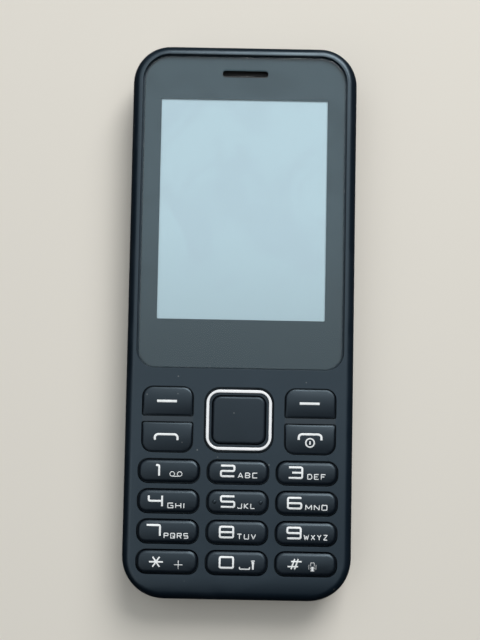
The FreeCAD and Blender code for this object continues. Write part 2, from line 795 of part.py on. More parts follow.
def open_chassis(shell):
    """The holes for the camera, torch and loudspeaker, and the notches in the outer wall."""
    camera = sketch_on(shell, "camera_hole", y="camera_centre", z="skin_front")
    draw_circle(camera, "barrel_radius + hole_gap")
    cut(shell, camera, "skin_wall")
    torch = sketch_on(shell, "torch_hole", y="torch_centre", z="skin_front")
    draw_circle(torch, "torch_radius + hole_gap")
    cut(shell, torch, "skin_wall")
    chamber = sketch_on(shell, "speaker_chamber", "-speaker_across", "speaker_centre",
                        "skin_front")
    draw_box(chamber, "speaker_width + 2 * (hole_gap + bay_wall)",
             "speaker_height + 2 * (hole_gap + bay_wall)")
    draw_box(chamber, "speaker_width + 2 * hole_gap", "speaker_height + 2 * hole_gap")
    pad(shell, chamber, "speaker_thickness")
    sound = sketch_on(shell, "sound_window", "-speaker_across", "speaker_centre", "skin_front")
    draw_box(sound, "grille_length", "3 * grille_pitch + grille_slot")
    cut(shell, sound, "skin_wall")
    jack = sketch_on(shell, "jack_notch", "jack_across", "top_edge - side_wall", "deck_top")
    draw_box(jack, "jack_width + 2 * socket_gap", "4 * side_wall")
    cut(shell, jack, "deck_top - jack_axis + jack_height / 2 + socket_gap")
    usb = sketch_on(shell, "usb_notch", "0", "side_wall - top_edge", "deck_top")
    draw_box(usb, "usb_width + 2 * socket_gap", "4 * side_wall")
    cut(shell, usb, "deck_top - usb_axis + usb_height / 2 + socket_gap")
    channels = []
    for index, along in enumerate(catch_places()):
        channel = sketch_on(shell, "catch_channel_%d" % index, "body_width / 2 - frame_inset",
                            along, "cover_rim")
        draw_box(channel, "2 * (catch_depth - hole_gap)", "catch_length + 4 * hole_gap")
        channels.append(cut(shell, channel, "cover_rim - skin_back"))
    mirrored(shell, channels)


def cut_grille(shell, height, depth):
    """A row of sound slots behind the loudspeaker."""
    slot = sketch_on(shell, "sound_slot", "-speaker_across",
                     "speaker_centre - 1.5 * grille_pitch", height)
    draw_slot(slot, "grille_length", "grille_slot")
    first = cut(shell, slot, depth)
    slots = shell.newObject("PartDesign::LinearPattern", "sound_slots")
    slots.Originals = [first]
    slots.Direction = (slot, ["V_Axis"])
    slots.setExpression("Length", bound("3 * grille_pitch"))
    slots.Occurrences = 4
    shell.Tip = slots
    document.recompute()


def make_battery_cover():
    """The snap-off back: a shallow dish with catches, sound slots and two round holes."""
    shell = new_body("battery_cover")
    outline = sketch_on(shell, "cover_outline")
    draw_rounded(outline, "body_width", "body_length", "corner_top", "corner_bottom")
    pad(shell, outline, "cover_rim")
    round_edges(shell, lies_at("0"), "back_edge_round")
    hollow = sketch_on(shell, "cover_hollow", z="cover_rim")
    draw_rounded(hollow, "body_width - 2 * cover_wall", "body_length - 2 * cover_wall",
                 "corner_top - cover_wall", "corner_bottom - cover_wall")
    cut(shell, hollow, "cover_rim - cover_wall")
    catches = []
    for index, along in enumerate(catch_places()):
        catch = sketch_on(shell, "catch_%d" % index, "body_width / 2 - cover_wall", along,
                          "cover_rim - catch_height")
        draw_box(catch, "2 * catch_depth", "catch_length")
        catches.append(pad(shell, catch, "catch_height"))
    mirrored(shell, catches)
    camera = sketch_on(shell, "camera_opening", y="camera_centre", z="cover_wall")
    draw_circle(camera, "window_radius + hole_gap")
    cut(shell, camera, "cover_wall")
    torch = sketch_on(shell, "torch_opening", y="torch_centre", z="cover_wall")
    draw_circle(torch, "torch_radius + hole_gap")
    cut(shell, torch, "cover_wall")
    cut_grille(shell, "cover_wall", "cover_wall")
    nail = sketch_on(shell, "nail_notch", "0", "-top_edge", "cover_rim")
    draw_box(nail, "nail_width", "cover_wall")
    cut(shell, nail, "nail_height")
    return shell


def make_screws():
    """Four small machine screws, each its own solid."""
    screws = new_body("housing_screws")
    for side in ("", "-"):
        for name, across, along in screw_places():
            shank = sketch_on(screws, name + "_screw", side + across, along, "screw_seat")
            draw_circle(shank, "screw_radius")
            pad(screws, shank, "deck_top + screw_bite - screw_seat")
            head = sketch_on(screws, name + "_screw_head", side + across, along, "skin_front")
            draw_circle(head, "screw_head_radius")
            pad(screws, head, "screw_head_height")
    return screws


def make_lens():
    """The screen lens, with the earpiece slot through it and a fine bevel round its front."""
    lens = new_body("screen_lens")
    outline = sketch_on(lens, "lens_outline", y="lens_centre", z="lens_back")
    draw_rounded(outline, "lens_width", "lens_length", "lens_corner_top", "lens_corner_bottom")
    pad(lens, outline, "lens_thickness")
    bevel_edges(lens, lies_at("lens_front"), "lens_edge")
    slot = sketch_on(lens, "earpiece_slot", y="slot_centre", z="lens_front")
    draw_slot(slot, "slot_width", "slot_height")
    cut(lens, slot, "lens_thickness")


def make_lens_tape():
    """The adhesive gasket between the lens and its ledge, open over the display."""
    tape = new_body("lens_tape")
    outline = sketch_on(tape, "tape_outline", y="lens_centre", z="ledge")
    inset = " - 2 * tape_inset"
    draw_rounded(outline, "lens_width" + inset, "lens_length" + inset,
                 "lens_corner_top - tape_inset", "lens_corner_bottom - tape_inset")
    pad(tape, outline, "tape_thickness")
    view = sketch_on(tape, "tape_opening", y="panel_centre", z="lens_back")
    draw_box(view, "pocket_width", "pocket_length")
    cut(tape, view, "tape_thickness")
    slot = sketch_on(tape, "tape_slot", y="slot_centre", z="lens_back")
    draw_slot(slot, "mesh_width", "mesh_height")
    cut(tape, slot, "tape_thickness")


# ---------------------------------------------------------------- display and earpiece

def make_earpiece():
    """The receiver capsule and the fine mesh between it and the slot in the lens."""
    plate("earpiece", "receiver_width", "receiver_height", "receiver_thickness",
          y="slot_centre", z="receiver_front - receiver_thickness", corner="slot_height")
    mesh = new_body("earpiece_mesh")
    outline = sketch_on(mesh, "mesh_outline", y="slot_centre", z="ledge - mesh_thickness")
    draw_slot(outline, "mesh_width", "mesh_height")
    pad(mesh, outline, "mesh_thickness")


def make_display():
    """The glass panel on its backlight, in a pressed tray, with a flex folded under it."""
    plate("display_panel", "panel_width", "panel_length", "panel_thickness",
          y="panel_centre", z="panel_back")
    plate("display_backlight", "panel_width", "panel_length", "backlight_thickness",
          y="panel_centre", z="backlight_back")
    tray = new_body("display_tray")
    outline = sketch_on(tray, "tray_outline", y="panel_centre", z="tray_back")
    draw_box(outline, "tray_width", "tray_length")
    pad(tray, outline, "panel_back - tray_back")
    inside = sketch_on(tray, "tray_inside", y="panel_centre", z="panel_back")
    draw_box(inside, "tray_width - 2 * tray_wall", "tray_length - 2 * tray_wall")
    cut(tray, inside, "backlight_thickness")


def make_display_flex():
    """A flat flexible strip from the panel's lower end, folded back under the tray."""
    flex = new_body("display_flex")
    half = number("flex_thickness") / 2
    lead = number("tray_length - panel_length") / 2
    radius = number("flex_fold")
    tail = number("flex_tail")
    strip = sketch_on(flex, "flex_strip", "panel_centre - panel_length / 2", "flex_axis",
                      plane="YZ_Plane")
    edges = strip.addGeometry([
        line((0, half), (-lead, half)),
        arc((-lead, -radius), radius + half, 90, 270),
        line((-lead, -2 * radius - half), (tail, -2 * radius - half)),
        line((tail, -2 * radius - half), (tail, -2 * radius + half)),
        line((tail, -2 * radius + half), (-lead, -2 * radius + half)),
        arc((-lead, -radius), radius - half, 90, 270),
        line((-lead, -half), (0, -half)),
        line((0, -half), (0, half)),
    ], False)
    lead_top, outer, low, end, low_top, inner, lead_low, root = edges
    joins = ((lead_top, END, outer, START), (outer, END, low, START),
             (low_top, END, inner, END), (inner, START, lead_low, START))
    for join in joins:
        strip.addConstraint(Sketcher.Constraint("Tangent", *join))
    for join in ((low, END, end, START), (end, END, low_top, START),
                 (lead_low, END, root, START), (root, END, lead_top, START)):
        strip.addConstraint(Sketcher.Constraint("Coincident", *join))
    for edge in (end, root):
        strip.addConstraint(Sketcher.Constraint("Vertical", edge))
    for edge in (lead_top, low, low_top, lead_low):
        strip.addConstraint(Sketcher.Constraint("Horizontal", edge))
    strip.addConstraint(Sketcher.Constraint("Coincident", inner, CENTRE, outer, CENTRE))
    dimension(strip, "DistanceY", (*ORIGIN, lead_top, START), "flex_thickness / 2")
    dimension(strip, "DistanceX", (lead_top, END, *ORIGIN), "(tray_length - panel_length) / 2")
    strip.addConstraint(Sketcher.Constraint("PointOnObject", root, END, -2))
    dimension(strip, "Radius", (outer,), "flex_fold + flex_thickness / 2")
    dimension(strip, "Radius", (inner,), "flex_fold - flex_thickness / 2")
    dimension(strip, "DistanceX", (*ORIGIN, end, START), "flex_tail")
    pad(flex, strip, "flex_width", both_ways=True)


# ---------------------------------------------------------------- board and what it carries

def make_main_board():
    """The circuit board: a long plate with a tongue for the lower socket and notches."""
    board = new_body("main_board")
    outline = sketch_on(board, "board_outline", y="board_centre", z="board_back")
    draw_rounded(outline, "board_width", "board_length", "board_corner")
    pad(board, outline, "board_thickness")
    tongue = sketch_on(board, "board_tongue", y="keypad_bottom", z="board_back")
    draw_box(tongue, "tongue_width", "2 * tongue_length")
    pad(board, tongue, "board_thickness")
    notch = sketch_on(board, "screw_notch", "top_screw_across", "top_screw_y", "board_top")
    draw_circle(notch, "boss_radius + board_clearance")
    mirrored(board, [cut(board, notch, "board_thickness")])
    corner = sketch_on(board, "board_corner_cut", "board_width / 2", "board_top_edge",
                       "board_top")
    draw_rounded(corner, "2 * (board_width / 2 - top_screw_across) + boss_radius",
                 "2 * (board_top_edge - top_screw_y) + boss_radius", "boss_radius")
    mirrored(board, [cut(board, corner, "board_thickness")])
    jack = sketch_on(board, "jack_cutout", "jack_across",
                     "jack_inner_end - 2 * socket_gap + 2 * jack_length", "board_top")
    draw_box(jack, "jack_width + 4 * socket_gap", "4 * jack_length")
    cut(board, jack, "board_thickness")
    usb = sketch_on(board, "usb_cutout", "0", "-top_edge", "board_top")
    draw_box(usb, "usb_width + 2 * socket_gap", "2 * (usb_setback + usb_depth + socket_gap)")
    cut(board, usb, "board_thickness")


def make_shields():
    """Two pressed cans over the circuits under the display, and the packages inside them."""
    cans = new_body("shield_cans")
    chips = new_body("board_chips")
    for name, along, length in (("upper", "upper_can_centre", "upper_can_length"),
                                ("lower", "lower_can_centre", "lower_can_length")):
        can = sketch_on(cans, name + "_can", y=along, z="board_top")
        draw_box(can, "can_width", length)
        pad(cans, can, "shield_top - board_top")
        inside = sketch_on(cans, name + "_can_inside", y=along, z="shield_top - shield_wall")
        draw_box(inside, "can_width - 2 * shield_wall", length + " - 2 * shield_wall")
        cut(cans, inside, "shield_top - shield_wall - board_top")
        for side in ("", "-"):
            chip = sketch_on(chips, name + "_chip", side + "chip_across", along, "board_top")
            draw_box(chip, "chip_side", "chip_side")
            pad(chips, chip, "shield_top - board_top - 2 * shield_wall")


def domed(film, name, across, along, side="dome_side"):
    """A four-legged snap dome: a low square pyramid with a flat top, on the film."""
    dome = sketch_on(film, name, across, along, "board_top + dome_film")
    draw_box(dome, side, side)
    feature = pad(film, dome, "dome_rise")
    feature.setExpression("TaperAngle", "-sizes.dome_slope")
    document.recompute()
    return feature, dome


def make_dome_sheet():
    """The polyester film with a snap dome under every key and every arm of the pad."""
    film = new_body("dome_sheet")
    outline = sketch_on(film, "film_outline", y="keypad_centre", z="board_top")
    draw_box(outline, "keypad_width - 2 * mat_rail - 2 * socket_gap", "keypad_length")
    pad(film, outline, "dome_film")
    key_grid(film, *domed(film, "number_dome", "-column_pitch", "last_row"))
    sides = [domed(film, "soft_dome", "function_offset", "soft_centre"),
             domed(film, "call_dome", "function_offset", "call_centre"),
             domed(film, "side_dome", "side_plunger_reach", "nav_centre", "arm_dome_side")]
    mirrored(film, [feature for feature, drawing in sides])
    domed(film, "up_dome", "0", "nav_centre + stud_reach", "arm_dome_side")
    domed(film, "down_dome", "0", "nav_centre - stud_reach", "arm_dome_side")
    domed(film, "select_dome", "0", "nav_centre")


# ---------------------------------------------------------------- keypad

def plunger(mat, name, across, along):
    """A square stud under the mat that pushes one dome."""
    stud = sketch_on(mat, name, across, along, "plunger_tip")
    draw_box(stud, "plunger_side", "plunger_side")
    return pad(mat, stud, "plunger_length"), stud


def make_keypad_mat():
    """The silicone mat: a web that carries the keys, rails on the board and the plungers."""
    mat = new_body("keypad_mat")
    web = sketch_on(mat, "mat_web", y="keypad_centre", z="mat_back")
    draw_rounded(web, "keypad_width", "keypad_length", "mat_corner")
    pad(mat, web, "mat_thickness")
    rail = sketch_on(mat, "mat_rail", "keypad_width / 2 - mat_rail / 2", "keypad_centre",
                     "board_top")
    draw_box(rail, "mat_rail", "keypad_length - 2 * mat_corner")
    mirrored(mat, [pad(mat, rail, "mat_back - board_top")])
    key_grid(mat, *plunger(mat, "number_plunger", "-column_pitch", "last_row"))
    sides = [plunger(mat, "soft_plunger", "function_offset", "soft_centre"),
             plunger(mat, "call_plunger", "function_offset", "call_centre"),
             plunger(mat, "side_plunger", "side_plunger_reach", "nav_centre")]
    mirrored(mat, [feature for feature, drawing in sides])
    plunger(mat, "select_plunger", "0", "nav_centre")
    for name, sign in (("up_hole", "+"), ("down_hole", "-")):
        hole = sketch_on(mat, name, "0", "nav_centre " + sign + " stud_reach", "mat_top")
        draw_box(hole, "stud_side + 2 * hole_gap", "stud_side + 2 * hole_gap")
        cut(mat, hole, "mat_thickness")


def crown(key, name, along, height, top):
    """The top of a key falls away in an arc from its middle to both ends."""
    span = number(height) / 2 + 1
    sag = number("key_crown")
    half = number(height) / 2
    radius = (half ** 2 + sag ** 2) / (2 * sag)
    drop = radius - math.sqrt(radius ** 2 - span ** 2)
    rise = 1.0
    spread = math.degrees(math.asin(span / radius))
    profile = sketch_on(key, name + "_crown", along, top, plane="YZ_Plane")
    bow, left, lid, right = profile.addGeometry([
        arc((0, -radius), radius, 90 - spread, 90 + spread),
        line((-span, -drop), (-span, rise)),
        line((-span, rise), (span, rise)),
        line((span, rise), (span, -drop)),
    ], False)
    for edge, following in ((bow, left), (left, lid), (lid, right)):
        profile.addConstraint(Sketcher.Constraint("Coincident", edge, END, following, START))
    profile.addConstraint(Sketcher.Constraint("Coincident", right, END, bow, START))
    profile.addConstraint(Sketcher.Constraint("Vertical", left))
    profile.addConstraint(Sketcher.Constraint("Vertical", right))
    profile.addConstraint(Sketcher.Constraint("Horizontal", lid))
    profile.addConstraint(Sketcher.Constraint("PointOnObject", bow, CENTRE, -2))
    radius_text = "((%s) ^ 2 / 4 + key_crown ^ 2) / (2 * key_crown)" % height
    dimension(profile, "Radius", (bow,), radius_text)
    dimension(profile, "DistanceY", (bow, CENTRE, *ORIGIN), radius_text)
    dimension(profile, "DistanceX", (*ORIGIN, right, START), "(%s) / 2 + 1" % height)
    dimension(profile, "DistanceX", (left, END, *ORIGIN), "(%s) / 2 + 1" % height)
    dimension(profile, "DistanceY", (*ORIGIN, right, START), "1")
    cut(key, profile, "body_width", both_ways=True)


def make_key(label, across, along, width, height, top, bottom=None):
    """A hard key cap on its wider flange, sized by the opening that it stands in."""
    key = new_body(label)
    clear = " - 2 * key_gap"
    flange = sketch_on(key, label + "_flange", across, along, "mat_top")
    reach = clear + " + 2 * flange_reach"
    bottom = bottom or top
    draw_box(flange, width + reach, height + reach)
    pad(key, flange, "key_flange")
    cap = sketch_on(key, label + "_cap", across, along, "mat_top")
    draw_rounded(cap, width + clear, height + clear, top + " - corner_ease",
                 bottom + " - corner_ease")
    pad(key, cap, "key_top - mat_top")
    bevel_edges(key, lies_at("key_top"), "key_bevel")
    crown(key, label, along, height + clear, "key_top")


def make_number_keys():
    """Four rows of three, from the key numbered 1 at the upper left."""
    rows = (("key_1", "key_2", "key_3"), ("key_4", "key_5", "key_6"),
            ("key_7", "key_8", "key_9"), ("key_star", "key_0", "key_hash"))
    for index, row in enumerate(rows):
        along = "first_row - %d * row_pitch" % index
        for label, across in zip(row, ("-column_pitch", "0", "column_pitch")):
            make_key(label, across, along, "number_width", "number_height", "number_corner")


def make_function_keys():
    """The soft keys above the bridges, and the call and end keys below them."""
    for label, across in (("soft_key_left", "-function_offset"),
                          ("soft_key_right", "function_offset")):
        make_key(label, across, "soft_centre", "function_width", "soft_height",
                 "function_corner", "bridge_corner")
    for label, across in (("call_key", "-function_offset"), ("end_key", "function_offset")):
        make_key(label, across, "call_centre", "function_width", "call_height",
                 "bridge_corner", "function_corner")


def make_five_way_pad():
    """The rocking ring with its bright trim, its two actuator studs, and the select key."""
    ring = new_body("nav_ring")
    flange = sketch_on(ring, "rocker_flange", y="nav_centre", z="mat_top")
    reach = " + 2 * rocker_reach"
    draw_box(flange, "ring_width" + reach, "ring_height" + reach)
    pad(ring, flange, "rocker_flange")
    wall = sketch_on(ring, "rocker_wall", y="nav_centre", z="mat_top")
    draw_rounded(wall, "ring_width", "ring_height", "ring_corner")
    pad(ring, wall, "ring_top - trim_height - mat_top")
    lip = sketch_on(ring, "rocker_lip", y="nav_centre", z="mat_top")
    draw_rounded(lip, "ring_width - 2 * trim_band", "ring_height - 2 * trim_band",
                 "ring_corner - trim_band")
    pad(ring, lip, "ring_top - lip_drop - mat_top")
    bore = sketch_on(ring, "select_opening", y="nav_centre", z="ring_top")
    draw_rounded(bore, "select_width + 2 * select_gap", "select_height + 2 * select_gap",
                 "select_corner + select_gap")
    cut(ring, bore, "ring_top - mat_top")
    rebate = sketch_on(ring, "rebate", y="nav_centre", z="mat_top + rebate_height")
    draw_box(rebate, "select_width + 2 * select_reach + 2 * rebate_gap",
             "select_height + 2 * select_reach + 2 * rebate_gap")
    cut(ring, rebate, "rebate_height")

    trim = new_body("nav_trim")
    band = sketch_on(trim, "trim_band", y="nav_centre", z="ring_top - trim_height")
    draw_rounded(band, "ring_width", "ring_height", "ring_corner")
    draw_rounded(band, "ring_width - 2 * trim_band", "ring_height - 2 * trim_band",
                 "ring_corner - trim_band")
    pad(trim, band, "trim_height")
    bevel_edges(trim, lies_at("ring_top"), "trim_bevel")

    studs = new_body("nav_studs")
    for name, sign in (("up_stud", "+"), ("down_stud", "-")):
        stud = sketch_on(studs, name, "0", "nav_centre " + sign + " stud_reach", "plunger_tip")
        draw_box(stud, "stud_side", "stud_side")
        pad(studs, stud, "mat_top - stud_gap - plunger_tip")

    select = new_body("select_key")
    base = sketch_on(select, "select_flange", y="nav_centre", z="mat_top")
    draw_box(base, "select_width + 2 * select_reach", "select_height + 2 * select_reach")
    pad(select, base, "rocker_flange")
    cap = sketch_on(select, "select_cap", y="nav_centre", z="mat_top")
    draw_rounded(cap, "select_width", "select_height", "select_corner")
    pad(select, cap, "select_top - mat_top")
    bevel_edges(select, lies_at("select_top"), "key_bevel")


# ---------------------------------------------------------------- battery and sockets

def make_battery():
    """The flat removable cell, its long edges rounded over."""
    cell = plate("battery", "battery_width", "battery_length", "battery_thickness",
                 y="-battery_centre", z="battery_back")
    long_side = number("battery_length") / 2

    def runs_along(edge):
        return edge.BoundBox.YLength > long_side

    round_edges(cell, runs_along, "cell_round")


def make_battery_contacts():
    """The insulating block that hangs from the board, and its three sprung pins."""
    block = new_body("battery_contacts")
    outline = sketch_on(block, "contact_block", y="contact_centre",
                        z="board_back - contact_drop")
    draw_box(outline, "contact_width", "contact_length")
    pad(block, outline, "contact_drop")
    for name, across in (("plus_pin", "-contact_pitch"), ("middle_pin", "0"),
                         ("minus_pin", "contact_pitch")):
        pin = sketch_on(block, name, across, "battery_top_edge + pin_radius",
                        "board_back - contact_drop + pin_radius")
        draw_circle(pin, "pin_radius")
        pad(block, pin, "pin_height")


def make_card_sockets():
    """Pressed sockets under the board: two for subscriber cards and one for a memory card."""
    sims = new_body("sim_sockets")
    memory = new_body("memory_socket")
    for name, across, width, length in card_places():
        owner = memory if name == "memory" else sims
        cage = sketch_on(owner, name + "_cage", across, "card_bay_centre",
                         "board_back - card_socket_height")
        draw_box(cage, width, length)
        pad(owner, cage, "card_socket_height")
        slot = sketch_on(owner, name + "_slot", across, "card_bay_centre - socket_wall",
                         "board_back - socket_wall")
        draw_box(slot, width + " - 2 * socket_wall", length)
        cut(owner, slot, "card_slot_height")


def make_usb_socket():
    """The charging socket: a drawn steel shell, open to the lower edge, with its tongue."""
    socket = new_body("usb_socket")
    mouth = "top_edge - usb_setback"
    shell = sketch_on(socket, "usb_shell", "0", "usb_axis", mouth, "XZ_Plane")
    draw_rounded(shell, "usb_width", "usb_height", "usb_corner")
    tube = pad(socket, shell, "usb_depth")
    tube.Reversed = True
    document.recompute()
    hollow = sketch_on(socket, "usb_hollow", "0", "usb_axis", mouth, "XZ_Plane")
    draw_rounded(hollow, "usb_width - 2 * usb_wall", "usb_height - 2 * usb_wall",
                 "usb_corner - usb_wall")
    cut(socket, hollow, "usb_depth - usb_wall")
    tongue = sketch_on(socket, "usb_tongue", "0", "usb_axis + usb_tongue_lift",
                       mouth + " - usb_depth", "XZ_Plane")
    draw_box(tongue, "usb_tongue_width", "usb_tongue_height")
    pad(socket, tongue, "usb_depth - usb_tongue_setback")


def make_headset_jack():
    """The headset socket: a moulded block with a round nose in the upper edge."""
    jack = new_body("headset_jack")
    mouth = "-jack_inner_end - jack_length - jack_nose"
    nose = sketch_on(jack, "jack_nose", "jack_across", "jack_axis", mouth, "XZ_Plane")
    draw_circle(nose, "jack_height / 2")
    pad(jack, nose, "jack_nose")
    block = sketch_on(jack, "jack_block", "jack_across", "jack_axis",
                      "-jack_inner_end - jack_length", "XZ_Plane")
    draw_box(block, "jack_width", "jack_height")
    pad(jack, block, "jack_length")
    bore = sketch_on(jack, "jack_bore", "jack_across", "jack_axis", mouth, "XZ_Plane")
    draw_circle(bore, "jack_bore_radius")
    cut(jack, bore, "jack_length + jack_nose", forward=True)


def make_loudspeaker():
    """The loudspeaker over its slots in the chassis, and the dust mesh between them."""
    plate("loudspeaker", "speaker_width", "speaker_height", "speaker_thickness",
          "-speaker_across", "speaker_centre", "skin_front + speaker_mesh_thickness",
          "speaker_corner")
    plate("loudspeaker_mesh", "speaker_width - 2 * speaker_corner",
          "speaker_height - 2 * hole_gap", "speaker_mesh_thickness", "-speaker_across",
          "speaker_centre", "skin_front")


def make_microphone():
    """The microphone can on the board's tongue, facing its hole in the lower edge."""
    plate("microphone", "microphone_width", "microphone_length", "microphone_thickness",
          "microphone_across",
          "side_wall + microphone_gap + microphone_length / 2 - top_edge", "board_top")


def make_vibration_motor():
    """The coin motor that lies on the chassis under the board."""
    coin = new_body("vibration_motor")
    disc = sketch_on(coin, "motor_disc", "-motor_across", "motor_centre", "skin_front")
    draw_circle(disc, "motor_radius")
    pad(coin, disc, "motor_thickness")
    rim = sketch_on(coin, "motor_cap", "-motor_across", "motor_centre",
                    "skin_front + motor_thickness")
    draw_circle(rim, "motor_radius - bay_wall")
    pad(coin, rim, "hole_gap")


def make_camera():
    """The camera: a square base on the board, a round barrel, and the window behind it."""
    camera = new_body("camera_module")
    base = sketch_on(camera, "camera_base", y="camera_centre", z="skin_front + hole_gap")
    draw_box(base, "camera_side", "camera_side")
    pad(camera, base, "board_back - skin_front - hole_gap")
    barrel = sketch_on(camera, "camera_barrel", y="camera_centre",
                       z="skin_back + hole_gap")
    draw_circle(barrel, "barrel_radius")
    pad(camera, barrel, "skin_wall")
    eye = sketch_on(camera, "camera_eye", y="camera_centre", z="skin_back + hole_gap + eye_sink")
    draw_circle(eye, "eye_radius")
    cut(camera, eye, "eye_sink")
    window = new_body("camera_window")
    disc = sketch_on(window, "window_disc", y="camera_centre", z="window_sink")
    draw_circle(disc, "window_radius")
    pad(window, disc, "skin_back - window_sink")
    bevel_edges(window, lies_at("window_sink"), "lens_edge")


def make_torch():
    """The torch: a white lamp on the board and the clear pipe that carries its light out."""
    lamp = new_body("torch_lamp")
    base = sketch_on(lamp, "lamp_base", y="torch_centre", z="board_back - led_height")
    draw_box(base, "torch_side", "torch_side")
    pad(lamp, base, "led_height")
    pipe = new_body("torch_lens")
    stem = sketch_on(pipe, "pipe_stem", y="torch_centre", z="window_sink")
    draw_circle(stem, "torch_radius")
    pad(pipe, stem, "board_back - led_height - window_sink")
    collar = sketch_on(pipe, "pipe_collar", y="torch_centre", z="skin_front")
    draw_box(collar, "2 * torch_radius + bay_wall", "2 * torch_radius + bay_wall")
    pad(pipe, collar, "bay_wall")
    bevel_edges(pipe, lies_at("window_sink"), "lens_edge")


def make_antenna():
    """The pressed antenna in the lower end, with two legs that reach up to the board."""
    antenna = new_body("antenna")
    strip = sketch_on(antenna, "antenna_strip", "antenna_across", "speaker_centre",
                      "skin_front")
    draw_box(strip, "antenna_width", "antenna_length")
    pad(antenna, strip, "antenna_sheet")
    slot = sketch_on(antenna, "antenna_slot", "antenna_across - antenna_arm",
                     "speaker_centre", "skin_front + antenna_sheet")
    draw_box(slot, "antenna_width", "antenna_length - 2 * antenna_arm")
    cut(antenna, slot, "antenna_sheet")
    for name, sign in (("feed_leg", "+"), ("earth_leg", "-")):
        leg = sketch_on(antenna, name, "antenna_across + antenna_width / 2 - antenna_arm / 2",
                        "speaker_centre " + sign + " antenna_arm", "skin_front")
        draw_box(leg, "antenna_arm / 2", "antenna_sheet")
        pad(antenna, leg, "board_back - skin_front")


def make_all():
    """Every piece of the phone, back to front."""
    make_battery_cover()
    make_rear_housing()
    make_screws()
    make_battery()
    make_battery_contacts()
    make_card_sockets()
    make_usb_socket()
    make_headset_jack()
    make_loudspeaker()
    make_microphone()
    make_vibration_motor()
    make_camera()
    make_torch()
    make_antenna()
    make_main_board()
    make_shields()
    make_dome_sheet()
    make_keypad_mat()
    make_number_keys()
    make_function_keys()
    make_five_way_pad()
    make_display()
    make_display_flex()
    make_earpiece()
    make_lens_tape()
    make_lens()
    make_front_housing()


def check_and_export():
    """Stops on any failed object or open shape, then writes each body to parts/."""
    for item in document.Objects:
        if "Invalid" in item.State or "Error" in item.State:
            raise ValueError(item.Name + " failed: " + str(item.State))
    bodies = document.findObjects("PartDesign::Body")
    for body in bodies:
        shape = body.Shape
        if shape.isNull() or not shape.isValid() or not shape.Solids:
            raise ValueError(body.Label + " has no valid solid")
    os.makedirs("parts", exist_ok=True)
    for body in bodies:
        body.Shape.exportStep(os.path.join("parts", body.Label + ".step"))
    print(len(bodies), "pieces written")


fill_sheet()
make_all()
check_and_export()
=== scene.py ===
import math

import bmesh
import bpy
from bpy.props import FloatProperty, FloatVectorProperty, PointerProperty
from mathutils import Matrix, Vector


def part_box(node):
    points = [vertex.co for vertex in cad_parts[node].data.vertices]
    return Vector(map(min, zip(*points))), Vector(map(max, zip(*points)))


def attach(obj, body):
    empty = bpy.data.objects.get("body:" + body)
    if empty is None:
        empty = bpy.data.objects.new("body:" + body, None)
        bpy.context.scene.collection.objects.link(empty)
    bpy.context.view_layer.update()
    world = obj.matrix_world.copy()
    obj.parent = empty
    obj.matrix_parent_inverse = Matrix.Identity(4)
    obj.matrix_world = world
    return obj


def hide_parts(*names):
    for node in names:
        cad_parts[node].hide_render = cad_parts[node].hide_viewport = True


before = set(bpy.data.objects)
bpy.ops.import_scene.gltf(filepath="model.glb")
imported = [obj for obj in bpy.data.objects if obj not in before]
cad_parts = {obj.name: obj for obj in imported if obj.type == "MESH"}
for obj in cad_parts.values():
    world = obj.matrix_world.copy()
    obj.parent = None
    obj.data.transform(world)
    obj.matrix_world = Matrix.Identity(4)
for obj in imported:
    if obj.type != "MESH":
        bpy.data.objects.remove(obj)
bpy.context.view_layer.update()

bl_info = {
    "name": "Keypad Phone",
    "version": (1, 0, 0),
    "blender": (4, 5, 0),
    "location": "View3D > Sidebar > Keypad Phone",
    "description": "Dresses a bar phone with a keypad in moulded plastic, glass and bright trim",
    "category": "Object",
}

MM = 0.001
FRONT_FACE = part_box("front_housing")[1].z
NUMBER_KEYS = ["key_1", "key_2", "key_3", "key_4", "key_5", "key_6", "key_7", "key_8", "key_9",
               "key_star", "key_0", "key_hash"]
FUNCTION_KEYS = ["soft_key_left", "soft_key_right", "call_key", "end_key"]

# Corner radii seen from the front: at the earpiece end, and at the other end.
BODY_CORNERS = (8.3 * MM, 9.4 * MM)
LENS_CORNERS = (5.6 * MM, 3.8 * MM)
EARPIECE_SLOT = (0, 54.57 * MM)  # the middle of the slot
DISPLAY_WINDOW = (36.8 * MM, 48.9 * MM)  # what the print behind the lens leaves open
TRIM_BAND = 0.66 * MM  # width of the bright trim
SHEEN = (0.70, 0.88, 1.0)  # the cool tint of the satin plastic's reflections


# ------------------------------------------------------------------ sizes and colours

def length(name, description, millimetres):
    return FloatProperty(name=name, description=description, default=millimetres * MM,
                         min=0, unit="LENGTH", precision=5)


def colour(name, description, value):
    return FloatVectorProperty(name=name, description=description, default=value, size=3,
                               min=0, max=1, subtype="COLOR")


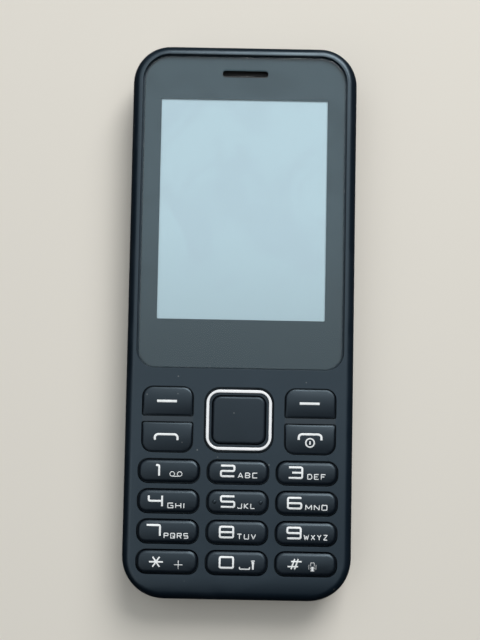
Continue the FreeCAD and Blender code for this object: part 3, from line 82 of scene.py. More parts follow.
class PhoneSizes(bpy.types.PropertyGroup):
    """The sizes of edges, crowns, print and mesh that can be changed."""

    rim_round: length("Rim round", "Width of the rounding along the front edge", 2.0)
    rim_steepness: FloatProperty(
        name="Rim steepness", description="Height of the rim's rounding against its width",
        default=1.45, min=1.0, max=2.0)
    chin_length: length("Chin length", "Length over which the lower end curves down", 5.6)
    chin_drop: length("Chin drop", "How far the front falls at the lower end", 1.25)
    wall: length("Wall", "Thickness of the shell's side walls", 1.3)
    opening_ease: length("Opening edge", "Small rounding of the shell's and back's edges", 0.12)
    key_edge: length("Key edge", "Rounding along the upper edge of each key", 0.66)
    key_crown: length("Key crown", "How far a key's top falls towards its ends", 0.44)
    cover_round: length("Cover round", "Radius along the edge of the back", 2.6)
    digit_height: length("Digit height", "Height of the printed digits", 2.68)
    digit_width: length("Digit width", "Width of the printed digits", 3.3)
    digit_stroke: length("Digit stroke", "Line width of the printed digits", 0.42)
    letter_height: length("Letter height", "Height of the printed letters", 1.23)
    letter_stroke: length("Letter stroke", "Line width of the printed letters", 0.20)
    print_height: length("Print height", "How thick the printed ink lies", 0.035)
    weave_pitch: length("Weave pitch", "Spacing of the wires in the two woven meshes", 0.31)
    weave_wire: length("Weave wire", "Thickness of those wires", 0.12)


class PhoneColours(bpy.types.PropertyGroup):
    """The colours of the finishes."""

    shell: colour("Shell", "Satin plastic of the front", (0.005, 0.010, 0.0165))
    # a painted highlight: this lighter colour on the strips between the function keys stands in
    # for the light they catch
    painted_bar_highlight: colour("Bars", "The bars between the function keys", (0.014, 0.016, 0.020))
    keys: colour("Keys", "Plastic of the key caps", (0.0032, 0.0056, 0.0096))
    cover: colour("Cover", "Textured plastic of the back", (0.026, 0.034, 0.040))
    mask: colour("Lens print", "Print behind the lens", (0.057, 0.090, 0.108))
    display: colour("Display", "The resting display", (0.50, 0.645, 0.71))
    print_ink: colour("Print", "Ink of the digits and letters", (0.86, 0.88, 0.88))
    trim: colour("Trim", "Bright ring round the select key", (0.93, 0.94, 0.95))
    floor: colour("Floor", "The pale floor", (0.74, 0.70, 0.63))


# ------------------------------------------------------------------ modelling by hand

def pick(piece):
    """Selects one piece alone and makes it the active one."""
    bpy.ops.object.select_all(action="DESELECT")
    piece.select_set(True)
    bpy.context.view_layer.objects.active = piece


def edit(piece, mode):
    """Opens one piece in edit mode with nothing selected."""
    pick(piece)
    bpy.ops.object.mode_set(mode="EDIT")
    bpy.ops.mesh.select_mode(type=mode)
    bpy.ops.mesh.select_all(action="DESELECT")


def leave():
    bpy.ops.object.mode_set(mode="OBJECT")


def settle(name):
    """Names the new primitive and puts its place, turn and size into its mesh."""
    piece = bpy.context.object
    piece.name = piece.data.name = name
    bpy.ops.object.transform_apply(location=True, rotation=True, scale=True)
    return piece


def choose(piece, kind, test):
    """Selects the points, edges or faces for which the test holds."""
    shape = bmesh.from_edit_mesh(piece.data)
    shape.normal_update()
    for item in getattr(shape, kind):
        if test(item):
            item.select_set(True)
    shape.select_flush_mode()
    bmesh.update_edit_mesh(piece.data)


def middle(item):
    """The middle of an edge or a face."""
    return sum((point.co for point in item.verts), Vector()) / len(item.verts)


def upright(edge):
    a, b = (point.co for point in edge.verts)
    return abs(a.z - b.z) > 0.9 * (a - b).length


def rims(side):
    """A test for edges between a face turned up (1) or down (-1) and an upright one."""
    level, steep = 0.8, 0.3

    def on_rim(edge):
        turns = sorted(side * face.normal.z for face in edge.link_faces)
        return len(turns) == 2 and turns[1] > level and abs(turns[0]) < steep
    return on_rim


def soften(piece, test, radius, steps=3):
    """Rounds the edges for which the test holds."""
    edit(piece, "EDGE")
    choose(piece, "edges", test)
    bpy.ops.mesh.bevel(offset=radius, segments=steps, profile=0.5, affect="EDGES",
                       clamp_overlap=False)
    leave()
    return piece


def step_in(piece, side, *steps):
    """Insets the faces turned up (1) or down (-1) and moves them, by each width and height."""
    edit(piece, "FACE")
    choose(piece, "faces", lambda face: side * face.normal.z > 0.9)
    for width, height in steps:
        bpy.ops.mesh.inset(thickness=width, depth=0)
        bpy.ops.mesh.extrude_region_move(TRANSFORM_OT_translate={"value": (0, 0, height)})
    leave()


def block(name, size, centre, bottom, top, upper=0, lower=None, steps=8):
    """A block from bottom to top whose upright edges are rounded, upper ones and lower ones."""
    bpy.ops.object.select_all(action="DESELECT")
    bpy.ops.mesh.primitive_cube_add(size=1, location=(*centre, (bottom + top) / 2),
                                    scale=(*size, top - bottom))
    piece = settle(name)
    near_end = 0.3 * size[1]
    for side, radius in ((1, upper), (-1, upper if lower is None else lower)):
        if radius:
            soften(piece, lambda edge: upright(edge)
                   and side * (middle(edge).y - centre[1]) > near_end, radius, steps)
    return piece


def rod(name, radius, centre, bottom, top, sides=40, axis="Z"):
    """A round bar along Z, or along Y from bottom to top."""
    bpy.ops.object.select_all(action="DESELECT")
    across, along = centre
    half = (bottom + top) / 2
    place = (across, along, half) if axis == "Z" else (across, half, along)
    turn = (0, 0, 0) if axis == "Z" else (math.pi / 2, 0, 0)
    bpy.ops.mesh.primitive_cylinder_add(vertices=sides, radius=radius, depth=top - bottom,
                                        location=place, rotation=turn)
    return settle(name)


def change(piece, kind, **settings):
    """Adds a modifier, sets it and applies it."""
    pick(piece)
    modifier = piece.modifiers.new(kind.lower(), kind)
    for key, value in settings.items():
        setattr(modifier, key, value)
    bpy.ops.object.modifier_apply(modifier=modifier.name)


def ease_edges(piece, width):
    """Rounds every sharp edge of a moulded shell a little."""
    change(piece, "BEVEL", width=width, segments=2, limit_method="ANGLE",
           angle_limit=math.radians(50), use_clamp_overlap=True)


def carve(piece, *cutters, operation="DIFFERENCE"):
    """Cuts blocks that don't touch each other out of a piece, or adds them to it."""
    pick(cutters[0])
    for cutter in cutters[1:]:
        cutter.select_set(True)
    if len(cutters) > 1:
        bpy.ops.object.join()
    change(piece, "BOOLEAN", operation=operation, object=cutters[0], solver="EXACT")
    bpy.data.objects.remove(cutters[0])


def slices(piece, axis, places):
    """Cuts a piece's faces along planes across an axis, so that its top can be bent."""
    normal = Vector([float(axis == name) for name in "xyz"])
    for place in places:
        edit(piece, "FACE")
        bpy.ops.mesh.select_all(action="SELECT")
        bpy.ops.mesh.bisect(plane_co=normal * place, plane_no=normal, threshold=1e-6)
        leave()


def lower_points(piece, above, drop):
    """Moves each point above a height down by drop(point)."""
    for point in piece.data.vertices:
        if point.co.z > above:
            point.co.z -= drop(point.co)
    piece.data.update()


def close_up(piece):
    """Merges the doubles of a mesh and turns its faces outwards."""
    edit(piece, "VERT")
    bpy.ops.mesh.select_all(action="SELECT")
    bpy.ops.mesh.remove_doubles(threshold=1e-7)
    bpy.ops.mesh.normals_make_consistent(inside=False)
    leave()


def finish(piece, body, slot, material, *nodes, angle=32):
    """Shades a finished piece, gives it its material and hangs it on its body."""
    pick(piece)
    bpy.ops.object.shade_smooth_by_angle(angle=math.radians(angle))
    change(piece, "WEIGHTED_NORMAL", keep_sharp=True)
    piece.data.materials.clear()
    piece.data.materials.append(material)
    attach(piece, body)
    if nodes:
        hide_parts(*nodes)


def form_of(name):
    """The width and length, the middle, and the lower and upper corner of a CAD node."""
    low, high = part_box(name)
    centre = ((high.x + low.x) / 2, (high.y + low.y) / 2)
    return (high.x - low.x, high.y - low.y), centre, low, high


def grown(size, across, along=None):
    """A width and length made larger, or smaller, by one amount or by two."""
    return (size[0] + across, size[1] + (across if along is None else along))


# ------------------------------------------------------------------ effects in materials

def new_group(name, inputs, outputs):
    """A shader node group with named number sockets, and its two ends."""
    group = bpy.data.node_groups.new(name, "ShaderNodeTree")
    for label, value in inputs.items():
        socket = group.interface.new_socket(label, in_out="INPUT",
                                            socket_type="NodeSocketFloat")
        socket.default_value = value
    for label in outputs:
        group.interface.new_socket(label, in_out="OUTPUT", socket_type="NodeSocketFloat")
    return group, group.nodes.new("NodeGroupInput"), group.nodes.new("NodeGroupOutput")


def node(tree, kind, links=(), **settings):
    """A node with its settings and its linked or plain inputs."""
    made = tree.nodes.new("ShaderNode" + kind)
    for key, value in settings.items():
        setattr(made, key, value)
    for socket, source in dict(links).items():
        if isinstance(source, bpy.types.NodeSocket):
            tree.links.new(source, made.inputs[socket])
        else:
            made.inputs[socket].default_value = source
    return made


def maths(tree, operation, first, second=0.0):
    return node(tree, "Math", {0: first, 1: second}, operation=operation).outputs[0]


def place_on(tree):
    """The three parts of the place on the piece."""
    return node(tree, "SeparateXYZ", {0: node(tree, "TexCoord").outputs["Object"]}).outputs


def ramp(tree, source, low, high, to_low=0.0, to_high=1.0):
    """Maps a range of a value smoothly on to another."""
    return node(tree, "MapRange", {0: source, 1: low, 2: high, 3: to_low, 4: to_high},
                interpolation_type="SMOOTHSTEP").outputs[0]


def mixed(tree, share, first, second):
    """One colour turning into another by a mask."""
    ends = {index: source if isinstance(source, bpy.types.NodeSocket) else (*source, 1)
            for index, source in ((6, first), (7, second))}
    return node(tree, "Mix", {0: share, **ends}, data_type="RGBA").outputs[2]


def scaled(value, factor):
    return tuple(min(1.0, part * factor) for part in value)


def noise(tree, place, scale, **values):
    """Soft noise, with the values that aren't the plain ones."""
    return node(tree, "TexNoise", {"Vector": place, "Scale": scale, **values}).outputs[0]


def make_grain_group():
    """Fine moulded grain: a height for bump and a slow change of tone."""
    group, start, end = new_group(
        "moulded grain", {"Grain scale": 4000.0, "Tone scale": 60.0}, ("Height", "Tone"))
    place = node(group, "TexCoord").outputs["Object"]
    fine = noise(group, place, start.outputs["Grain scale"], Roughness=0.6)
    slow = noise(group, place, start.outputs["Tone scale"], Detail=3.0, Roughness=0.55)
    group.links.new(fine, end.inputs["Height"])
    group.links.new(ramp(group, slow, 0.3, 0.7), end.inputs["Tone"])


def make_touch_group():
    """Handling marks: soft smudges and a few specks of dust."""
    group, start, end = new_group(
        "handling", {"Smudge scale": 70.0, "Speck scale": 900.0, "Speck share": 0.02},
        ("Smudge", "Speck"))
    place = node(group, "TexCoord").outputs["Object"]
    soft = noise(group, place, start.outputs["Smudge scale"], Detail=4.0, Distortion=1.2)
    cells = node(group, "TexVoronoi",
                 {"Vector": place, "Scale": start.outputs["Speck scale"]}).outputs
    rare = node(group, "SeparateColor", {0: cells["Color"]}).outputs[0]
    chosen = maths(group, "LESS_THAN", rare, start.outputs["Speck share"])
    near = ramp(group, cells["Distance"], 0.08, 0.20, 1.0, 0.0)
    group.links.new(ramp(group, soft, 0.46, 0.66), end.inputs["Smudge"])
    group.links.new(maths(group, "MULTIPLY", chosen, near), end.inputs["Speck"])


def make_brush_group():
    """Rolled or brushed metal: thin lines along one axis."""
    group, start, end = new_group("rolled metal", {"Line scale": 900.0}, ("Height", "Tone"))
    place = node(group, "TexCoord").outputs["Object"]
    drawn = node(group, "Mapping", {"Vector": place, "Scale": (1.0, 0.04, 1.0)}).outputs[0]
    lines = noise(group, drawn, start.outputs["Line scale"], Detail=3.0)
    group.links.new(lines, end.inputs["Height"])
    group.links.new(ramp(group, lines, 0.35, 0.65), end.inputs["Tone"])


def placed_group(tree, name, **values):
    """Places an effect in a material, with its own values, and gives its outputs."""
    made = tree.nodes.new("ShaderNodeGroup")
    made.node_tree = bpy.data.node_groups[name]
    for label, value in values.items():
        made.inputs[label.replace("_", " ")].default_value = value
    return made.outputs


def new_material(name):
    material = bpy.data.materials.new(name)
    material.use_nodes = True
    tree = material.node_tree
    return material, tree, tree.nodes["Principled BSDF"]


def dress(tree, shader, base, mask, polished, dull, **values):
    """Gives a shader its colour, a roughness that goes by a mask, and plain values."""
    tree.links.new(base, shader.inputs["Base Color"])
    tree.links.new(ramp(tree, mask, 0.0, 1.0, polished, dull), shader.inputs["Roughness"])
    for label, value in values.items():
        shader.inputs[label.replace("_", " ")].default_value = value


def emboss(tree, shader, height, strength, depth):
    """Gives a shader a fine relief, its depth in millimetres."""
    bump = node(tree, "Bump", {"Strength": strength, "Distance": depth * MM, "Height": height})
    tree.links.new(bump.outputs[0], shader.inputs["Normal"])


def plastic(name, value, roughness, grain=4000.0, depth=0.006, tone=0.12, tone_scale=60.0,
            smudge=0.0, dust=0.0, coat=0.0, metallic=0.0, shine=0.5, sky=(1.0, 1.0, 1.0)):
    """Moulded plastic or lacquer, with grain, tone, smudges and dust."""
    material, tree, shader = new_material(name)
    skin = placed_group(tree, "moulded grain", Grain_scale=grain, Tone_scale=tone_scale)
    touch = placed_group(tree, "handling")
    base = mixed(tree, skin["Tone"], scaled(value, 1 - tone), scaled(value, 1 + tone))
    if smudge:
        haze = maths(tree, "MULTIPLY", touch["Smudge"], smudge)
        base = mixed(tree, haze, base, scaled(value, 1.7))
    if dust:
        share = maths(tree, "MULTIPLY", touch["Speck"], dust)
        pale_grey = (0.35, 0.36, 0.35)
        base = mixed(tree, share, base, pale_grey)
    dress(tree, shader, base, touch["Smudge"], roughness, roughness + 0.08, Coat_Weight=coat,
          Coat_Roughness=0.08, Metallic=metallic, Specular_IOR_Level=shine,
          Specular_Tint=(*sky, 1))
    emboss(tree, shader, skin["Height"], 0.5, depth)
    return material


def metal(name, value, roughness):
    """Rolled, plated or drawn metal with fine lines."""
    material, tree, shader = new_material(name)
    skin = placed_group(tree, "rolled metal")
    base = mixed(tree, skin["Tone"], scaled(value, 0.88), scaled(value, 1.12))
    dress(tree, shader, base, skin["Tone"], roughness, roughness + 0.1, Metallic=1.0)
    emboss(tree, shader, skin["Height"], 0.4, 0.004)
    return material


def mirrored_box(tree, low, high, blur):
    """1 in a box on the right and in its mirror image on the left, falling to 0 over a blur."""
    place = place_on(tree)
    parts = (maths(tree, "ABSOLUTE", place["X"]), place["Y"])
    shares = []
    for part, start, end in zip(parts, low, high):
        rise = ramp(tree, part, start - blur, start + blur)
        fall = ramp(tree, part, end - blur, end + blur, 1.0, 0.0)
        shares.append(maths(tree, "MULTIPLY", rise, fall))
    return maths(tree, "MULTIPLY", *shares)


def shell_material(colours):
    """The satin shell, with a painted highlight on the strips between the function keys."""
    material = plastic("satin shell", colours.shell, 0.30, grain=3600.0, depth=0.010,
                       tone=0.06, tone_scale=40.0, smudge=0.10, dust=0.4, shine=0.80,
                       sky=SHEEN)
    tree = material.node_tree
    base = tree.nodes["Principled BSDF"].inputs["Base Color"]
    soft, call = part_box("soft_key_right"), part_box("call_key")
    # painted highlight: the strips between the function keys get a lighter colour
    inwards, outwards = 0.3 * MM, 0.55 * MM
    painted_bar_highlight = mirrored_box(tree, (soft[0].x + inwards, call[1].y - outwards),
                        (soft[1].x - inwards, soft[0].y + outwards), 0.12 * MM)
    tree.links.new(mixed(tree, painted_bar_highlight, base.links[0].from_socket, colours.painted_bar_highlight), base)
    return material


def flat_with_painted_shade(name, value, smudged, part, lowest, scale, smudge, polished, dull, shine):
    """A flat colour with painted shade that makes it darker towards a part's lower end, and with
    faint smudges.
    """
    material, tree, shader = new_material(name)
    touch = placed_group(tree, "handling", Smudge_scale=scale)
    low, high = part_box(part)
    # painted shade: towards the part's lower end the colour falls to the share lowest of itself
    rise = ramp(tree, place_on(tree)["Y"], low.y, 0.45 * low.y + 0.55 * high.y)
    base = mixed(tree, rise, scaled(value, lowest), value)
    base = mixed(tree, maths(tree, "MULTIPLY", touch["Smudge"], smudge), base, smudged)
    dress(tree, shader, base, touch["Smudge"], polished, dull, Specular_IOR_Level=shine)
    return material


def clear_material():
    """The lens: what is behind shows straight through, and its face mirrors the room."""
    tint, ior, roughness = (0.99, 1.0, 1.0), 1.46, 0.05
    material, tree, shader = new_material("clear lens")
    tree.nodes.remove(shader)
    touch = placed_group(tree, "handling", Smudge_scale=38.0)
    dull = ramp(tree, touch["Smudge"], 0.0, 1.0, roughness, roughness + 0.10)
    through = node(tree, "BsdfTransparent", {"Color": (*tint, 1)})
    mirror = node(tree, "BsdfGlossy", {"Color": (1, 1, 1, 1), "Roughness": dull})
    outside = maths(tree, "SUBTRACT", 1.0, node(tree, "NewGeometry").outputs["Backfacing"])
    share = maths(tree, "MULTIPLY", node(tree, "Fresnel", {"IOR": ior}).outputs[0], outside)
    pane = node(tree, "MixShader", {0: share, 1: through.outputs[0], 2: mirror.outputs[0]})
    tree.links.new(pane.outputs[0], tree.nodes["Material Output"].inputs["Surface"])
    return material


def wrap_material(high):
    """The battery's wrap: pale foil with a darker fold along one side and a black end."""
    material, tree, shader = new_material("battery wrap")
    skin = placed_group(tree, "rolled metal", Line_scale=700.0)
    place = place_on(tree)
    fold_from, end_from = 0.72 * high.x, high.y - 3.2 * MM
    fold = ramp(tree, place["X"], fold_from, fold_from + 0.05 * MM)
    end = ramp(tree, place["Y"], end_from, end_from + 0.1 * MM)
    base = mixed(tree, skin["Tone"], (0.50, 0.51, 0.53), (0.58, 0.59, 0.61))
    base = mixed(tree, fold, base, (0.44, 0.45, 0.47))
    base = mixed(tree, end, base, (0.03, 0.03, 0.032))
    dress(tree, shader, base, skin["Tone"], 0.3, 0.42)
    return material


# ------------------------------------------------------------------ print on the keys

# Each stroke joins points on a grid of five by five, across and then up.
GLYPHS = {
    "0": "00-04-44-40-00", "1": "04-44-40", "2": "04-44-42-02-00-40",
    "3": "04-44-40-00 12-42", "4": "04-02-42 44-40", "5": "44-04-02-42-40-00",
    "6": "44-04-00-40-42-02", "7": "04-44-40", "8": "00-04-44-40-00 02-42",
    "9": "00-40-44-04-02-42", "*": "02-42 10-34 14-30", "#": "10-24 20-34 01-31 13-43",
    "+": "02-42 24-20", "A": "00-24-40 11-31", "B": "00-04-34-43-32-02 32-41-30-00",
    "C": "44-04-00-40", "D": "00-04-34-43-41-30-00", "E": "44-04-00-40 02-32",
    "F": "44-04-00 02-32", "G": "44-04-00-40-42-22", "H": "00-04 40-44 02-42",
    "I": "20-24", "J": "44-40-00-01", "K": "00-04 44-02-40", "L": "04-00-40",
    "M": "00-04-21-44-40", "N": "00-04-40-44", "O": "00-04-44-40-00",
    "P": "00-04-44-42-02", "Q": "00-04-44-40-00 22-40", "R": "00-04-44-42-02 22-40",
    "S": "44-04-02-42-40-00", "T": "04-44 24-20", "U": "04-00-40-44", "V": "04-20-44",
    "W": "04-10-23-30-44", "X": "04-40 00-44", "Y": "04-22-44 22-20",
    "Z": "04-44-00-40",
}
GLYPH_WIDTHS = {"I": 0.1, "M": 1.15, "W": 1.3}
# Each key's print in millimetres from its middle: the digit, and the letters with their width.
KEY_PRINT = {
    "key_1": ("1", (-2.45, 0.10), "", (0, 0), 0),
    "key_2": ("2", (-2.22, 0.25), "ABC", (2.12, -0.62), 4.3),
    "key_3": ("3", (-2.47, 0.16), "DEF", (2.06, -0.66), 4.0),
    "key_4": ("4", (-2.76, 0.04), "GHI", (1.69, -0.89), 3.7),
    "key_5": ("5", (-2.10, 0.16), "JKL", (1.91, -0.72), 3.8),
    "key_6": ("6", (-2.57, 0.10), "MNO", (2.12, -0.76), 4.75),
    "key_7": ("7", (-3.07, 0.20), "PQRS", (1.83, -0.86), 5.3),
    "key_8": ("8", (-2.22, 0.12), "TUV", (2.08, -0.76), 4.1),
    "key_9": ("9", (-2.61, 0.20), "WXYZ", (2.04, -0.66), 5.2),
    "key_star": ("*", (-2.33, 0.00), "+", (2.45, -0.54), 1.95),
    "key_0": ("0", (-2.12, 0.14), "", (0, 0), 0),
    "key_hash": ("#", (-2.37, 0.08), "", (0, 0), 0),
}
# Width, height and line width against the plain ones, and the rounding of the corners.
DIGIT = (1.0, 1.0, 1.0, 0.32)
ODD_DIGITS = {"1": (0.34, 1.0, 1.0, 0.32), "*": (1.0, 0.92, 0.8, 0.0),
              "#": (1.0, 0.92, 0.72, 0.0)}


def eased(points, radius):
    """The corners of a line cut back by a radius and rounded."""
    closed = points[0] == points[-1]
    ring = points[:-1] if closed else points
    made = [] if closed else [ring[0]]
    for index in range(len(ring)) if closed else range(1, len(ring) - 1):
        before, here, after = (Vector(ring[(index + step) % len(ring)]) for step in (-1, 0, 1))
        cut = min(radius, 0.45 * (before - here).length, 0.45 * (after - here).length)
        first = here + (before - here).normalized() * cut
        last = here + (after - here).normalized() * cut
        for share in (0.0, 0.33, 0.67, 1.0):
            made.append(tuple(first.lerp(here, share).lerp(here.lerp(last, share), share)))
    if not closed:
        made.append(ring[-1])
    return made, closed


def glyph_lines(text, centre, width, height, stroke, gap, round_off):
    """The strokes of a line of text about a centre: points, closed or not, line width."""
    shares = [GLYPH_WIDTHS.get(letter, 1.0) for letter in text]
    unit = (width - stroke - gap * (len(text) - 1)) / sum(shares)
    left = centre[0] - (width - stroke) / 2
    foot = centre[1] - (height - stroke) / 2
    lines = []
    for letter, share in zip(text, shares):
        for part in GLYPHS[letter].split():
            spots = [(left + int(p[0]) / 4 * unit * share, foot + int(p[1]) / 4
                      * (height - stroke)) for p in part.split("-")]
            if letter == "I":  # its one stroke stands in the middle of its narrow place
                spots = [(left + unit * share / 2, y) for _, y in spots]
            lines.append((*eased(spots, round_off), stroke))
        left += unit * share + gap
    return lines


def loop(centre, radius, stroke, count=14):
    """A round line."""
    turns = [2 * math.pi * index / count for index in range(count)]
    return ([(centre[0] + radius * math.cos(turn), centre[1] + radius * math.sin(turn))
             for turn in turns], True, stroke)


def path(points, stroke, round_off=0.0):
    return (*eased(points, round_off), stroke) if round_off else (points, False, stroke)


def handset(across, up):
    """A handset lying down, moved across and up."""
    points = ((-2.45, -0.62), (-2.45, 0.22), (-1.95, 0.60), (1.95, 0.60), (2.45, 0.22),
              (2.45, -0.62))
    return path([(x + across, y + up) for x, y in points], 0.46, 0.5)


def icon_lines(key):
    """The small signs, in millimetres from the key's middle."""
    tape = [loop((0.74, -0.60), 0.50, 0.16), loop((2.34, -0.60), 0.50, 0.16),
            path([(0.74, -1.10), (2.34, -1.10)], 0.16)]
    space = path([(0.72, -0.75), (0.72, -1.22), (2.86, -1.22), (2.86, -0.75)], 0.24, 0.12)
    torch = [path([(3.18, 0.55), (3.98, 0.55)], 0.20), path([(3.30, 0.12), (3.86, 0.12)], 0.42),
             path([(3.58, 0.10), (3.58, -1.25)], 0.40)]
    case = path([(1.08, -1.36), (1.08, 0.42), (1.84, 0.42), (1.84, -1.36), (1.08, -1.36)],
                0.10, 0.1)
    shakes = [path([(1.46, -0.42), (1.46, -1.32)], 0.50),
              path([(0.70, -1.0), (0.70, 0.0)], 0.08), path([(2.22, -1.0), (2.22, 0.0)], 0.08)]
    power = [loop((0, -0.68), 0.92, 0.30, count=20), path([(0, -0.30), (0, -1.05)], 0.30)]
    dash = path([(-2.35, 0.0), (1.95, 0.0)], 0.52)
    signs = {"key_1": tape, "key_0": [space, *torch], "key_hash": [case, *shakes],
             "soft_key_left": [dash], "soft_key_right": [dash], "call_key": [handset(-0.2, 0)],
             "end_key": [handset(0, 0.55), *power]}
    return signs.get(key, [])


def key_lines(key, sizes):
    """All the ink on one key: its sign, its digit and its letters."""
    lines = icon_lines(key)
    if key not in KEY_PRINT:
        return lines
    digit, place, letters, beside, span = KEY_PRINT[key]
    wide, tall, thick, round_off = ODD_DIGITS.get(digit, DIGIT)
    lines += glyph_lines(digit, place, wide * sizes.digit_width / MM,
                         tall * sizes.digit_height / MM, thick * sizes.digit_stroke / MM, 0,
                         round_off)
    tall, thick, round_off = (1.6, 0.8, 0.0) if letters == "+" else (1.0, 1.0, 0.1)
    letter_gap = 0.58
    if letters:
        lines += glyph_lines(letters, beside, span, tall * sizes.letter_height / MM,
                             thick * sizes.letter_stroke / MM, letter_gap, round_off)
    return lines


def make_tubes(name, lines, centre):
    """Ink lines about a centre as round tubes, drawn as curves and made into one mesh."""
    data = bpy.data.curves.new(name, "CURVE")
    data.dimensions = "3D"
    data.bevel_depth = 0.5 * MM
    data.bevel_resolution = 1
    data.use_fill_caps = True
    for points, closed, stroke in lines:
        spline = data.splines.new("POLY")
        spline.points.add(len(points) - 1)
        spline.use_cyclic_u = closed
        for point, (x, y) in zip(spline.points, points):
            point.co = (centre[0] + x * MM, centre[1] + y * MM, 0, 1)
            point.radius = stroke
    piece = bpy.data.objects.new(name, data)
    bpy.context.scene.collection.objects.link(piece)
    pick(piece)
    bpy.ops.object.convert(target="MESH")
    piece = bpy.context.object
    piece.data.name = name
    close_up(piece)
    return piece


def make_print(name, lines, centre, cap, sizes):
    """Ink lines pressed flat and laid on the key's crown."""
    piece = make_tubes(name, lines, centre)
    long_edges = 0.45 * MM
    edit(piece, "EDGE")
    choose(piece, "edges", lambda edge: edge.calc_length() > long_edges)
    bpy.ops.mesh.subdivide(number_cuts=2)
    leave()
    bpy.context.view_layer.update()
    full_height = 0.2 * MM  # points this far from a tube's middle lie at the print's height
    for point in piece.data.vertices:
        hit, place, _, _ = cap.ray_cast((point.co.x, point.co.y, 1), (0, 0, -1))
        if not hit:
            raise RuntimeError(name + " reaches past its key")
        level = max(-1.0, min(1.0, point.co.z / full_height))
        point.co.z = place.z + level * sizes.print_height
    piece.data.update()
    return piece


# ------------------------------------------------------------------ the front shell

def function_corners(key, round_end, square_end):
    """The upper and the lower corner radius of a function key or of its opening."""
    return (round_end, square_end) if "soft" in key else (square_end, round_end)


def shell_blank(sizes):
    """The outer form of the shell, with its rounded rim and the chin that curves down."""
    plan, centre, low, high = form_of("front_housing")
    shell = block("front_shell", plan, centre, low.z, high.z, *BODY_CORNERS, steps=14)
    soften(shell, rims(1), sizes.rim_round, 8)
    below_rim = high.z - 1.01 * sizes.rim_round
    lower_points(shell, below_rim, lambda co: (sizes.rim_steepness - 1) * (high.z - co.z))
    start, bend = low.y + sizes.chin_length, high.z - 3 * sizes.rim_round
    chin_cuts, suddenness = (1.0, 0.88, 0.76, 0.64, 0.52, 0.42), 2.4
    slices(shell, "y", [low.y + sizes.chin_length * part for part in chin_cuts])
    lower_points(shell, bend, lambda co: sizes.chin_drop * (co.z - bend) / (high.z - bend)
                 * max(0.0, (start - co.y) / sizes.chin_length) ** suddenness)
    return shell


def front_openings(bottom, top):
    """Cutters for the keys and the pad, right through the front plate."""
    number_opening, number_corner, ring_corner = (13.6 * MM, 5.46 * MM), 2.3 * MM, 3.4 * MM
    cutters = [block("opening", number_opening, form_of(key)[1], bottom, top, number_corner)
               for key in NUMBER_KEYS]
    for key in FUNCTION_KEYS:
        flange, place = form_of(key)[:2]
        cutters.append(block("opening", grown(flange, -0.36 * MM, -0.38 * MM), place, bottom,
                             top, *function_corners(key, 2.4 * MM, 0.5 * MM)))
    ring, place = form_of("nav_trim")[:2]
    cutters.append(block("opening", grown(ring, 0.94 * MM, 1.16 * MM),
                         (place[0], place[1] - 0.02 * MM), bottom, top, ring_corner, steps=10))
    return cutters


def carve_rooms(shell, wall):
    """Cuts the shell's hollow, its lens recess and openings, and the rooms behind them."""
    plan, centre, low, high = form_of("front_housing")
    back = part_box("display_tray")[0].z - 0.05 * MM
    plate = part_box("key_5")[1].z - 1.85 * MM
    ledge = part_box("lens_tape")[0].z
    carve(shell, block("hollow", grown(plan, -2 * wall), centre, low.z - MM, back,
                       *(radius - wall for radius in BODY_CORNERS)))
    room_width, room_gap = 44.4 * MM, 0.4 * MM
    start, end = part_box("key_0")[0].y - room_gap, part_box("soft_key_left")[1].y + room_gap
    carve(shell, block("key_room", (room_width, end - start), (0, (start + end) / 2),
                       back - 0.5 * MM, plate))
    lens, seat = form_of("screen_lens")[:2]
    recess = block("lens_recess", grown(lens, 0.7 * MM, 0.6 * MM),
                   (seat[0], seat[1] + 0.15 * MM), ledge, high.z + MM, 5.95 * MM, 4.1 * MM,
                   steps=12)
    carve(shell, recess, *front_openings(plate - MM, high.z + MM))
    rooms = []
    for name, part, gap in (("display_room", "display_panel", 0.4 * MM),
                            ("receiver_room", "earpiece_mesh", 0.2 * MM)):
        size, place = form_of(part)[:2]
        rooms.append(block(name, grown(size, gap), place, back - MM, ledge + 0.2 * MM))
    carve(shell, *rooms)


def carve_ends(shell, wall):
    """Cuts the holes for the headset jack, the charging socket and the microphone."""
    low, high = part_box("front_housing")
    jack, socket, voice = (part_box(name) for name in ("headset_jack", "usb_socket",
                                                     "microphone"))
    jack_radius, voice_radius, voice_height, gap = 2.3 * MM, 0.45 * MM, 7 * MM, 0.15 * MM
    carve(shell,
          rod("jack_hole", jack_radius,
              ((jack[0].x + jack[1].x) / 2, (jack[0].z + jack[1].z) / 2),
              high.y - 2 * wall, high.y + MM, axis="Y"),
          block("socket_hole", (socket[1].x - socket[0].x + 2 * gap, 8 * MM),
                (0, low.y + 2 * MM), socket[0].z - gap, socket[1].z + gap),
          rod("voice_hole", voice_radius, ((voice[0].x + voice[1].x) / 2, voice_height),
              low.y - MM, low.y + 2 * wall, sides=16, axis="Y"))


class PHONE_OT_front_shell(bpy.types.Operator):
    """Model the moulded front shell with its rim, chin and openings"""

    bl_idname = "phone.front_shell"
    bl_label = "Front shell"

    def execute(self, context):
        sizes, colours = context.scene.phone_sizes, context.scene.phone_colours
        shell = shell_blank(sizes)
        carve_rooms(shell, sizes.wall)
        carve_ends(shell, sizes.wall)
        ease_edges(shell, sizes.opening_ease)
        through_keys = (-19.3, -12.1, -4.3, 4.1, 12.3, 19.5)
        slices(shell, "x", [across * MM for across in through_keys])
        finish(shell, "root", "satin_black", shell_material(colours), "front_housing", angle=40)
        return {"FINISHED"}


# ------------------------------------------------------------------ the screen

def make_lens():
    """The clear pane, with the slot in front of the earpiece."""
    size, place, low, high = form_of("screen_lens")
    slot, slot_corner, edge_round = (10 * MM, 1.3 * MM), 0.64 * MM, 0.16 * MM
    lens = block("lens_pane", size, place, low.z, high.z, *LENS_CORNERS, steps=14)
    carve(lens, block("slot", slot, EARPIECE_SLOT, low.z - MM, high.z + MM, slot_corner,
                      steps=6))
    return soften(lens, rims(1), edge_round, 3)


